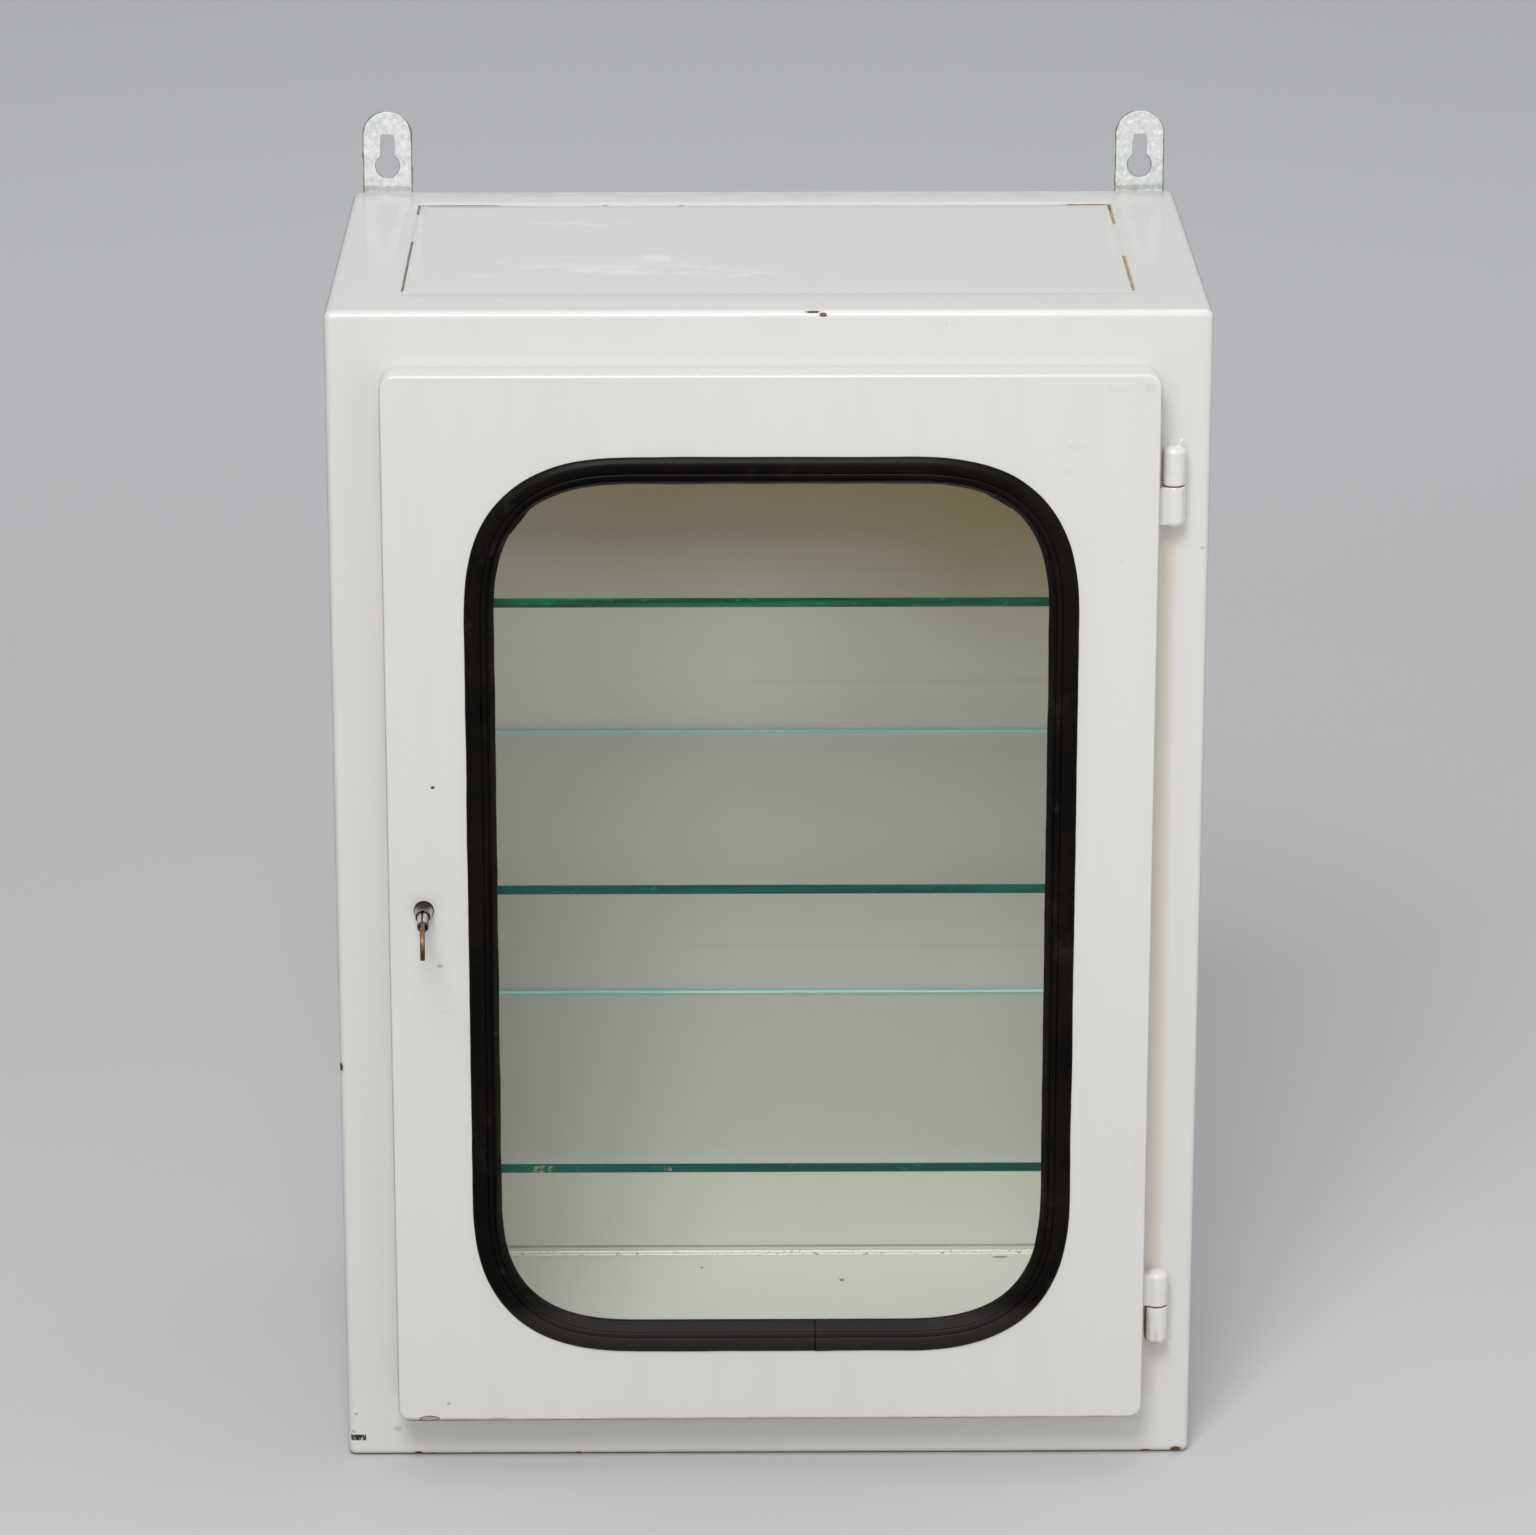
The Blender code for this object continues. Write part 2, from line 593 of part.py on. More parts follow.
def seal_section():
    """Section of the window rubber: out from the window's edge, and forward of the face."""
    slot = -FIT_GAP
    glass_slot = slot - SEAL_WALL
    groove_near = -GROOVE_INSET
    groove_far = groove_near - FILLER_WIDTH - 2 * FIT_GAP
    glass_front = FIT_GAP - GLASS_SETBACK
    glass_back = -FIT_GAP - GLASS_SETBACK - GLASS_THICKNESS
    back = glass_back - SEAL_BACK
    tip = -SEAL_INNER_LIP
    sheet_back = -DOOR_SHEET - FIT_GAP
    rear_lip = 0.8 * SEAL_LIP
    return [
        (SEAL_LIP, FIT_GAP),
        (SEAL_LIP, 0.45 * SEAL_PROUD),
        (0.88 * SEAL_LIP, 0.8 * SEAL_PROUD),
        (0.64 * SEAL_LIP, SEAL_PROUD),
        (0.1 * SEAL_LIP, SEAL_PROUD),
        (0.5 * groove_near, 0.87 * SEAL_PROUD),
        (groove_near, 0.6 * SEAL_PROUD),
        (groove_near, -GROOVE_DEPTH),
        (groove_far, -GROOVE_DEPTH),
        (groove_far, 0.2 * SEAL_PROUD),
        (0.7 * groove_far + 0.3 * tip, 0.12 * SEAL_PROUD),
        (tip, 0.75 * glass_front),
        (tip, glass_front),
        (glass_slot, glass_front),
        (glass_slot, glass_back),
        (0.93 * tip, glass_back),
        (0.93 * tip, glass_back - 0.6 * SEAL_BACK),
        (0.83 * tip, back),
        (0.5 * glass_slot, back),
        (slot, back + 0.4 * SEAL_BACK),
        (0.15 * rear_lip, sheet_back - SEAL_BACK - GROOVE_DEPTH),
        (rear_lip, sheet_back - SEAL_BACK),
        (rear_lip, sheet_back),
        (slot, sheet_back),
        (slot, FIT_GAP),
    ]


def filler_section():
    """Section of the strip pressed into the seal's groove, with a rounded crown."""
    outer = -GROOVE_INSET - FIT_GAP
    inner = outer - FILLER_WIDTH
    floor = FIT_GAP - GROOVE_DEPTH
    crown = floor + FILLER_HEIGHT
    return [
        (outer, floor),
        (outer, crown - FILLER_CHAMFER),
        (outer - FILLER_CHAMFER, crown),
        (inner + FILLER_CHAMFER, crown),
        (inner, crown - FILLER_CHAMFER),
        (inner, floor),
    ]


def make_window(axis):
    """Glass, its rubber seal, and the filler strip that locks the seal."""
    path = rounded_rectangle(WINDOW_WIDTH, WINDOW_HEIGHT, WINDOW_RADIUS, WINDOW_STEPS)
    carry(swept_part("window_seal", seal_section(), path, True, RUBBER), axis)
    open_path = rounded_rectangle(WINDOW_WIDTH, WINDOW_HEIGHT, WINDOW_RADIUS, WINDOW_STEPS,
                                  FILLER_JOINT_X)
    carry(swept_part("seal_filler_strip", filler_section(), open_path, False, RUBBER), axis)
    glass = slab_mesh("door_glass", WINDOW_WIDTH - 2 * GLASS_EDGE, GLASS_THICKNESS,
                      WINDOW_HEIGHT - 2 * GLASS_EDGE, WINDOW_RADIUS - GLASS_EDGE, WINDOW_STEPS)
    middle_y = DOOR_FACE_Y + GLASS_SETBACK + GLASS_THICKNESS / 2
    carry(new_part("door_glass", glass, (0.0, middle_y, MID_Z), GLASS), axis)


def make_knuckle(name, split_z, above, on_door):
    """A hinge barrel with a blind bore, open at the split, and its leaf or foot."""
    profile = [(0.0, KNUCKLE_LENGTH)]
    for step in range(CORNER_STEPS + 1):
        angle = math.radians(90) * (1 - step / CORNER_STEPS)
        profile.append((KNUCKLE_RADIUS - KNUCKLE_DOME * (1 - math.cos(angle)),
                        KNUCKLE_LENGTH - KNUCKLE_DOME * (1 - math.sin(angle))))
    profile += [(KNUCKLE_RADIUS, 0.0), (PIN_BORE, 0.0), (PIN_BORE, PIN_BITE), (0.0, PIN_BITE)]
    direction = 1 if above else -1
    foot_z = split_z + direction * KNUCKLE_SPLIT / 2
    knuckle = new_part(name, turned_mesh(name, profile), (HINGE_X, HINGE_Y, foot_z), WHITE)
    if not above:
        knuckle.rotation_euler.x = math.radians(180)
    turn(knuckle)
    low_z = foot_z + direction * KNUCKLE_DOME / 2
    high_z = foot_z + direction * (KNUCKLE_LENGTH - KNUCKLE_DOME)
    wall = (PIN_BORE + KNUCKLE_RADIUS) / 2
    if on_door:
        low = (DOOR_WIDTH / 2 + FIT_GAP, HINGE_Y - LEAF_THICKNESS / 2, min(low_z, high_z))
        high = (HINGE_X - wall, HINGE_Y + LEAF_THICKNESS / 2, max(low_z, high_z))
    else:
        low = (HINGE_X - FOOT_THICKNESS / 2, HINGE_Y + wall, min(low_z, high_z))
        high = (HINGE_X + FOOT_THICKNESS / 2, FRONT_Y - FIT_GAP, max(low_z, high_z))
    combine(knuckle, cutter_between(name + "_leaf", low, high), "UNION")
    return knuckle


def make_hinge(place, split_z, door_above, axis):
    """One pin hinge: a knuckle on the frame, a knuckle on the door, and the pin."""
    make_knuckle(place + "_frame_knuckle", split_z, not door_above, False)
    carry(make_knuckle(place + "_door_knuckle", split_z, door_above, True), axis)
    half = PIN_BITE + KNUCKLE_SPLIT / 2 - FIT_GAP
    profile = [(0.0, half), (PIN_RADIUS - FIT_GAP, half), (PIN_RADIUS, half - FIT_GAP),
               (PIN_RADIUS, FIT_GAP - half), (PIN_RADIUS - FIT_GAP, -half), (0.0, -half)]
    name = place + "_hinge_pin"
    turn(new_part(name, turned_mesh(name, profile), (HINGE_X, HINGE_Y, split_z), STEEL))


def lock_part(name, profile, finish, axis, closed=False):
    """A turned piece on the lock's axis, its heights counted outwards from the door's face."""
    part = new_part(name, turned_mesh(name, profile, closed),
                    (LOCK_X, DOOR_FACE_Y, LOCK_Z), finish)
    part.rotation_euler.x = math.radians(90)
    turn(part)
    carry(part, axis)
    return part


def lock_box(name, half_x, half_z, front, back):
    """A box-shaped cutter on the lock's axis between two depths."""
    return cutter_between(name, (LOCK_X - half_x, DOOR_FACE_Y - front, LOCK_Z - half_z),
                          (LOCK_X + half_x, DOOR_FACE_Y - back, LOCK_Z + half_z))


def make_lock_body(door_axis):
    """The nose that shows on the door, its threaded sleeve, and the nut behind the sheet."""
    base_radius = SLEEVE_RADIUS + NOSE_FLANGE
    lock_part("lock_nose", [
        (KEY_BORE, NOSE_LENGTH),
        (KEY_BORE + NOSE_WALL, NOSE_LENGTH),
        (base_radius, NOSE_COLLAR),
        (base_radius, FIT_GAP),
        (SLEEVE_RADIUS, FIT_GAP),
        (SLEEVE_RADIUS, SLEEVE_BACK),
        (NECK_BORE, SLEEVE_BACK),
        (NECK_BORE, SHOULDER_FRONT),
        (KEY_BORE, SHOULDER_FRONT),
    ], STEEL, door_axis, True)
    circle = (SLEEVE_HOLE + NUT_WALL) / math.cos(math.radians(30))
    middle = DOOR_FACE_Y - (NUT_FRONT + NUT_BACK) / 2
    nut = new_part("lock_nut", disc_mesh("lock_nut", circle, NUT_THICKNESS, 6),
                   (LOCK_X, middle, LOCK_Z), STEEL)
    nut.rotation_euler.x = math.radians(90)
    combine(nut, round_cutter("lock_nut_bore", SLEEVE_HOLE, 2 * NUT_THICKNESS,
                              (LOCK_X, middle, LOCK_Z)))
    carry(nut, door_axis)


def make_lock_works(lock_axis):
    """Spindle, retaining clip, cam and cam screw, which turn with the key."""
    spindle = lock_part("lock_spindle", [
        (0.0, SPINDLE_FRONT + PEG_LENGTH),
        (PEG_RADIUS, SPINDLE_FRONT + PEG_LENGTH),
        (PEG_RADIUS, SPINDLE_FRONT),
        (KEY_TUBE_RADIUS, SPINDLE_FRONT),
        (KEY_TUBE_RADIUS, SHOULDER_FRONT + FIT_GAP),
        (SPINDLE_NECK_RADIUS, SHOULDER_FRONT + FIT_GAP),
        (SPINDLE_NECK_RADIUS, NECK_BACK),
        (0.0, NECK_BACK),
    ], STEEL, lock_axis)
    combine(spindle, lock_box("spindle_square", SPINDLE_SQUARE, SPINDLE_SQUARE,
                              NECK_BACK + CAM_THICKNESS / 2, SQUARE_BACK), "UNION")
    bore_depth = SCREW_LENGTH + 2 * FIT_GAP
    bore_middle = SCREW_FRONT + bore_depth / 2
    combine(spindle, round_cutter("spindle_bore", SCREW_BORE, bore_depth,
                                  (LOCK_X, DOOR_FACE_Y - bore_middle, LOCK_Z)))

    clip_radius = NECK_BORE + CLIP_WALL
    clip = lock_part("retaining_clip", [
        (NECK_BORE, CLIP_FRONT),
        (clip_radius, CLIP_FRONT),
        (clip_radius, CLIP_FRONT - CLIP_THICKNESS),
        (NECK_BORE, CLIP_FRONT - CLIP_THICKNESS),
    ], STEEL, lock_axis, True)
    mouth = 0.7 * SPINDLE_NECK_RADIUS
    combine(clip, cutter_between("clip_mouth", (LOCK_X - mouth, DOOR_FACE_Y, LOCK_Z),
                                 (LOCK_X + mouth, FRONT_Y, LOCK_Z + 2 * clip_radius)))

    length = CAM_REACH + CAM_WIDTH / 2
    middle_y = DOOR_FACE_Y - (CAM_FRONT + CAM_BACK) / 2
    mesh = slab_mesh("lock_cam", CAM_WIDTH, CAM_THICKNESS, length, 0.45 * CAM_WIDTH, CORNER_STEPS)
    middle_z = LOCK_Z + CAM_WIDTH / 2 - length / 2
    cam = new_part("lock_cam", mesh, (LOCK_X, middle_y, middle_z), STEEL)
    hole = SPINDLE_SQUARE + FIT_GAP
    combine(cam, lock_box("cam_hole", hole, hole, CAM_FRONT + CAM_THICKNESS,
                          CAM_BACK - CAM_THICKNESS))
    carry(cam, lock_axis)

    screw_tip = SCREW_FRONT + SCREW_LENGTH
    screw_end = SCREW_FRONT - SCREW_HEAD_HEIGHT
    lock_part("cam_screw", [
        (0.0, screw_tip),
        (SCREW_RADIUS, screw_tip),
        (SCREW_RADIUS, SCREW_FRONT),
        (SCREW_HEAD_RADIUS, SCREW_FRONT),
        (SCREW_HEAD_RADIUS, screw_end),
        (0.0, screw_end),
    ], STEEL, lock_axis)


def make_key(key_axis):
    """The key: a steel tube that fits over the spindle's peg, and a flat bow."""
    lock_part("key_tube", [
        (KEY_SOCKET, KEY_TUBE_END),
        (KEY_TUBE_RADIUS, KEY_TUBE_END),
        (KEY_TUBE_RADIUS, KEY_TUBE_START),
        (KEY_SOCKET, KEY_TUBE_START),
    ], STEEL, key_axis, True)
    middle = Vector((LOCK_X, DOOR_FACE_Y - BOW_CENTRE, LOCK_Z))
    stretch = BOW_LENGTH / BOW_HEIGHT
    bow = new_part("key_bow", disc_mesh("key_bow", BOW_HEIGHT / 2, BOW_THICKNESS, BOW_STEPS,
                                        stretch), middle, BRASS)
    bow.rotation_euler = (math.radians(90), 0.0, math.radians(90))
    neck_end = BOW_CENTRE - (BOW_LENGTH + BOW_HOLE_LENGTH) / 4
    combine(bow, lock_box("bow_neck", 0.49 * BOW_THICKNESS, BOW_NECK / 2, neck_end,
                          KEY_TUBE_END + FIT_GAP), "UNION")
    tang_half = math.sqrt(PEG_RADIUS ** 2 - (BOW_THICKNESS / 2) ** 2)
    combine(bow, lock_box("bow_tang", 0.48 * BOW_THICKNESS, tang_half,
                          KEY_TUBE_END + BOW_TANG / 2, KEY_TUBE_END - BOW_TANG), "UNION")
    hole = new_cutter("bow_hole", disc_mesh("bow_hole", BOW_HOLE_HEIGHT / 2, 4 * BOW_THICKNESS,
                                            BOW_STEPS, BOW_HOLE_LENGTH / BOW_HOLE_HEIGHT), middle)
    hole.rotation_euler = bow.rotation_euler
    combine(bow, hole)
    carry(bow, key_axis)


def shade_round_pieces():
    """Smooth shading with sharp edges kept on every piece."""
    for part in PARTS.objects:
        if part.type == "MESH":
            part.data.shade_smooth()
            part.data.set_sharp_from_angle(angle=math.radians(35))


def build():
    """Make the whole cabinet."""
    make_carcass()
    make_top_panel()
    make_back_panel()
    make_lug("left_hanging_lug", -1)
    make_lug("right_hanging_lug", 1)
    shelf_names = ["lower_shelf", "middle_shelf", "upper_shelf"]
    for number in range(SHELF_COUNT):
        make_rail(shelf_names[number] + "_left_rail", -1, number)
        make_rail(shelf_names[number] + "_right_rail", 1, number)
        make_shelf(shelf_names[number], number)

    door_axis = carried_by("door_swing", (HINGE_X, HINGE_Y, MID_Z))
    make_door_pan(door_axis)
    make_window(door_axis)
    make_hinge("upper", MID_Z + HINGE_RISE, False, door_axis)
    make_hinge("lower", MID_Z - HINGE_RISE, True, door_axis)

    lock_axis = carried_by("key_turn", (LOCK_X, DOOR_FACE_Y, LOCK_Z), door_axis)
    key_axis = carried_by("key_pull", (LOCK_X, DOOR_FACE_Y, LOCK_Z), lock_axis)
    make_lock_body(door_axis)
    make_lock_works(lock_axis)
    make_key(key_axis)
    shade_round_pieces()


build()
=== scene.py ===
"""Looks of a white steel medicine cabinet with a glazed door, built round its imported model.

Metres, +Z up. The door faces -Y, and +X is to the right of someone who faces it.
"""

import math

import bmesh
import bpy
from mathutils import Euler, Matrix, Vector, noise


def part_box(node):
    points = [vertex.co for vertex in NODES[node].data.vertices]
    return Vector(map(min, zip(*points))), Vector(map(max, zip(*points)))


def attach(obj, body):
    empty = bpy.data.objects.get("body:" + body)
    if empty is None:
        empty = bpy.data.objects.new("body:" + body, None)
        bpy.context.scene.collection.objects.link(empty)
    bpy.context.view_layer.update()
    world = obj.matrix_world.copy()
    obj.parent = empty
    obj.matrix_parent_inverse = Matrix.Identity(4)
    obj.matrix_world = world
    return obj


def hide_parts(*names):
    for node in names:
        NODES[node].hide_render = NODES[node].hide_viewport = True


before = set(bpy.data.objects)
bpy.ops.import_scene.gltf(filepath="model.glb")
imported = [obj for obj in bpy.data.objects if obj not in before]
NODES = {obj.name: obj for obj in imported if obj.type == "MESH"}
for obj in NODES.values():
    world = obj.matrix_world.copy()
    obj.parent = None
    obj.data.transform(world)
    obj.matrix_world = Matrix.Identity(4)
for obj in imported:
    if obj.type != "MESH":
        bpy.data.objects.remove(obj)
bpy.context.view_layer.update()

MM = 0.001

# Sheet work of the carcass and the door
SHEET = 1.2 * MM
FOLD = 4 * MM
WALL_CORNER = 4.6 * MM
LIP_DEPTH = 5 * MM
LIP_BEND = 1.2 * MM
OPENING_INSET = 42 * MM
OPENING_CORNER = 6 * MM
BACK_FLANGE = 40 * MM
TOP_SIDE_FLANGE = 42 * MM
TOP_FRONT_FLANGE = 49 * MM
TOP_BACK_FLANGE = 41 * MM
TOP_SEAM = 0.6 * MM
TOP_LAP = 12 * MM
BACK_FILLER = (-157 * MM, 190 * MM)
LEFT_FILLER = (18 * MM, 92 * MM)
RIGHT_FILLER = (-22 * MM, 64 * MM)
WIDE_FILLER_END = -115 * MM
FRONT_WELD = 5 * MM
PLATE_EDGE = 0.45 * MM
PLATE_CORNER = 0.8 * MM
PLATE_PROUD = 0.07 * MM
LAP_GAP = 0.3 * MM
BEAD_STEP = 2.5 * MM
BEAD_HALF_WIDTH = 1.15 * MM
BEAD_HEIGHT = 0.42 * MM
WIDE_BEAD = 1.6
BACK_EDGE = 0.3 * MM
BACK_CORNER = 1.5 * MM
FLOOR_BEAD = 2.3 * MM
RAIL_SHEET = 1.5 * MM
DOOR_FOLD = 1.6 * MM
DOOR_SPREAD = 1.5 * MM
DOOR_LIFT = 1.0 * MM
DOOR_CORNER = 8.5 * MM
DOOR_RETURN = 14 * MM
DOOR_RETURN_BEND = 1.6 * MM
PAINT_WAVE = 0.07 * MM
PAINT_WAVE_SCALE = 7.0
FINE_WAVE = 0.02 * MM
FINE_WAVE_SCALE = 34.0

# Window, seal and glass: the seal's outer edge has long, soft corners
SEAL_LIP = 7.5 * MM
SEAL_HALF = (174.2 * MM, 271.7 * MM)
SEAL_CORNER = 100 * MM
SEAL_POWER = 2.66
SEAL_SHIFT_X = 1.4 * MM
SEAL_DROP = 1.2 * MM
SEAL_JOINT_X = 27.3 * MM
SEAL_JOINT_GAP = 0.06 * MM
SEAL_STEP = 3.2 * MM
FILLER_TOP = 2.75
GLASS_EDGE = 3 * MM
HOLE_EDGE = 0.3 * MM
KINK_LEFT = (35.0, 47.0)
KINK_RIGHT = (48.0, 60.0)

# Hanging lugs
LUG_SHOULDER = 14.4 * MM
KEYHOLE_RADIUS = 7.1 * MM
SLOT_HALF = 4.2 * MM
SLOT_CORNER = 1.4 * MM
KEYHOLE_CENTRE_DROP = 33.5 * MM
SLOT_TOP_DROP = 14.6 * MM
LUG_HUB_RISE = 4.5 * MM
LUG_EDGE = 0.7 * MM
LUG_LUMPS = (0.30 * MM, 260.0)
LUG_WAVES = (0.45 * MM, 95.0)

# Hinges, lock and key
BARREL_RADIUS = 5.9 * MM
BARREL_PAINT = 0.9 * MM
BARREL_SHIFT = 0.8 * MM
BARREL_DOME = 4.2 * MM
HINGE_LEAF = 4.6 * MM
LEAF_FRONT = 5.2 * MM
DOOR_BARREL_GAP = 2.6 * MM
FRAME_BARREL_GAP = 1.4 * MM
DOOR_LEAF_SHORT = 1.8 * MM
FRAME_LEAF_SHORT = 3.4 * MM
LEAF_START = 0.4 * MM
PAINT_VOXEL = 0.42 * MM
NIB_RISE = 6.6 * MM
NIB_LEAN = 2.3 * MM
NIB_RADIUS = 1.85 * MM
NIB_NARROWING = 0.30 * MM
NOSE_COLLAR = 1.6 * MM
SLEEVE_RADIUS = 4.9 * MM
SLEEVE_HOLE = 5.2 * MM
SLEEVE_NECK = 2.8 * MM
THREAD_START = 0.4 * MM
THREAD_RADIUS = 4.85 * MM
THREAD_LENGTH = 5.4 * MM
THREAD_RIDGE = 0.28 * MM
CAM_HOLE = 2.1 * MM
SCREW_HEAD = 1.5 * MM
SCREW_PITCH = 0.6 * MM
KEY_RADIUS = 3.4 * MM
KEY_WALL = 1.2 * MM
KEY_LENGTHENED = 4.3 * MM
KEY_SEAM = math.radians(97)
SEAM_NOTCH = 0.8 * MM
SEAM_SPAN = 0.26
TUBE_FLAT = 0.18 * MM
BOW_CENTRE = 58.5 * MM
BOW_LENGTH = 22 * MM
BOW_THICKNESS = 2.6 * MM
BOW_HOLE = (11 * MM, 8.5 * MM)
KEY_BEND = math.radians(2.2)

SHELVES = ("lower_shelf", "middle_shelf", "upper_shelf")
SHELL_LOW, SHELL_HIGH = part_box("carcass_shell")
DOOR_LOW, DOOR_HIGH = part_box("door_pan")
SEAL_LOW, SEAL_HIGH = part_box("window_seal")
GLASS_LOW, GLASS_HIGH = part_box("door_glass")
NOSE_LOW, NOSE_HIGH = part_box("lock_nose")
FRONT = SHELL_LOW.y
BACK = SHELL_HIGH.y
HEIGHT = SHELL_HIGH.z
MID_Z = HEIGHT / 2
HALF_WIDTH = SHELL_HIGH.x
DEPTH = BACK - FRONT
TOP_SIDE_SEAM = HALF_WIDTH - TOP_SIDE_FLANGE
TOP_FRONT_SEAM = FRONT + TOP_FRONT_FLANGE
TOP_BACK_SEAM = BACK - TOP_BACK_FLANGE
DOOR_FACE = DOOR_LOW.y
DOOR_BACK = DOOR_HIGH.y
DOOR_HALF = ((DOOR_HIGH.x - DOOR_LOW.x) / 2, (DOOR_HIGH.z - DOOR_LOW.z) / 2)
SEAL_CENTRE = Vector((SEAL_SHIFT_X, MID_Z - SEAL_DROP))
LOCK_X = (NOSE_LOW.x + NOSE_HIGH.x) / 2
LOCK_Z = (NOSE_LOW.z + NOSE_HIGH.z) / 2

# Camera, solved from the edges of the carcass in the photograph
CAMERA_LENS = 142.32
CAMERA_PLACE = (-0.0331, FRONT - 3.3193, 1.4933)
CAMERA_TURN = (90 - 17.771, -0.014, -0.560)

# Light and surroundings
PLAIN_LIGHT = (1.0, 1.0, 1.0)
DAYLIGHT = (1.0, 0.985, 0.965)
SKYLIGHT = (0.98, 0.99, 1.0)
MIDDLE = (0.0, 0.0, 0.4)
# Each lamp is its name, place, target, size, watts, colour, and whether it throws a shadow
LAMPS = [
    ("high_lamp", (-0.45, -2.7, 3.3), MIDDLE, 1.5, 85.0, PLAIN_LIGHT, True),
    ("left_window", (-1.3, -3.9, 1.85), MIDDLE, 0.9, 8.4, DAYLIGHT, True),
    ("right_bounce", (1.7, -2.0, 0.9), MIDDLE, 1.0, 12.8, DAYLIGHT, False),
    ("ceiling", (0.35, 0.0, 3.0), (0.25, 0.0, 0.0), 1.6, 9.0, SKYLIGHT, True),
    ("far_lamp", (0.0, 4.5, 3.6), (0.0, 3.0, 0.0), 2.5, 8.0, SKYLIGHT, True),
]
SURROUND_LIGHT = (0.385, 0.39, 0.395)
SURROUND_SEEN = (0.56, 0.58, 0.60)
FLOOR_COLOUR = (0.60, 0.602, 0.606)
FLOOR_FAR = (0.80, 0.81, 0.83)
FLOOR_MIRRORED = (0.14, 0.13, 0.12)
FLOOR_REACH = 30.0
FLOOR_DROP = 0.2 * MM


# Node helpers

def join(tree, value, socket):
    """Lead a value, or what another node puts out, into a socket."""
    value = getattr(value, "socket", value)
    if isinstance(value, bpy.types.NodeSocket):
        tree.links.new(value, socket)
    elif value is not None:
        socket.default_value = value


def add(tree, kind, sockets=None, **settings):
    """A node with its settings, its sockets set to values or joined to other nodes."""
    node = tree.nodes.new(kind)
    for key, value in settings.items():
        setattr(node, key, value)
    for key, value in (sockets or {}).items():
        join(tree, value, node.inputs[key])
    return node


def math_node(tree, operation, first, second=0.0, third=0.0):
    """The result of a Math node."""
    node = add(tree, "ShaderNodeMath", {0: first, 1: second, 2: third}, operation=operation)
    return Term(tree, node.outputs[0])


class Term:
    """What a node puts out. It takes arithmetic, and each step of that is a Math node."""

    def __init__(self, tree, socket):
        self.tree = tree
        self.socket = socket

    def __add__(self, other):
        return math_node(self.tree, "ADD", self, other)

    def __sub__(self, other):
        return math_node(self.tree, "SUBTRACT", self, other)

    def __rsub__(self, other):
        return math_node(self.tree, "SUBTRACT", other, self)

    def __mul__(self, other):
        return math_node(self.tree, "MULTIPLY", self, other)

    def __truediv__(self, other):
        return math_node(self.tree, "DIVIDE", self, other)

    def __abs__(self):
        return math_node(self.tree, "ABSOLUTE", self)

    def times_plus(self, factor, rest):
        """This times a factor, and something added."""
        return math_node(self.tree, "MULTIPLY_ADD", self, factor, rest)

    def most(self, other):
        """The larger of two values."""
        return math_node(self.tree, "MAXIMUM", self, other)

    def over(self, limit):
        """One where the value is above a limit, else nought."""
        return math_node(self.tree, "GREATER_THAN", self, limit)

    def hypotenuse(self, other):
        """The length of two sides at a right angle."""
        return math_node(self.tree, "SQRT", self.times_plus(self, other * other))

    def spread(self, start, end, low=0.0, high=1.0):
        """The value moved smoothly from one range to another, and kept within it."""
        node = add(self.tree, "ShaderNodeMapRange",
                   {"Value": self, "From Min": start, "From Max": end, "To Min": low,
                    "To Max": high}, interpolation_type="SMOOTHSTEP")
        return Term(self.tree, node.outputs["Result"])

    def within(self, low, high, soft):
        """One between two limits, nought outside them, with soft ends."""
        return self.spread(low - soft, low + soft) * self.spread(high - soft, high + soft, 1.0, 0.0)


def mixed(tree, amount, first, second, **settings):
    """One colour over another."""
    node = add(tree, "ShaderNodeMix", {0: amount, 6: first, 7: second}, data_type="RGBA",
               **settings)
    return Term(tree, node.outputs[2])


def cloud(place, scale, detail=2.0, roughness=0.5, distortion=0.0):
    """The value of a noise texture. Three scales draw it out along the axes."""
    if isinstance(scale, tuple):
        place = Term(place.tree, add(place.tree, "ShaderNodeMapping",
                                     {"Vector": place, "Scale": scale}).outputs[0])
        scale = 1.0
    node = add(place.tree, "ShaderNodeTexNoise",
               {"Vector": place, "Scale": scale, "Detail": detail, "Roughness": roughness,
                "Distortion": distortion})
    return Term(place.tree, node.outputs[0])


def sparse_dots(place, scale, channel, rarity):
    """How far the nearest dot is, and a mask that keeps a few of the dots."""
    dots = add(place.tree, "ShaderNodeTexVoronoi", {"Vector": place, "Scale": scale}).outputs
    dice = add(place.tree, "ShaderNodeSeparateColor", {0: dots["Color"]}).outputs[channel]
    return Term(place.tree, dots["Distance"]), Term(place.tree, dice).over(rarity)


def rgb(colour):
    """A colour with full alpha, or the colour that a node puts out."""
    return (*colour, 1.0) if isinstance(colour, tuple) else colour


def mm(*values):
    """Metres from millimetres."""
    return tuple(value * MM for value in values)


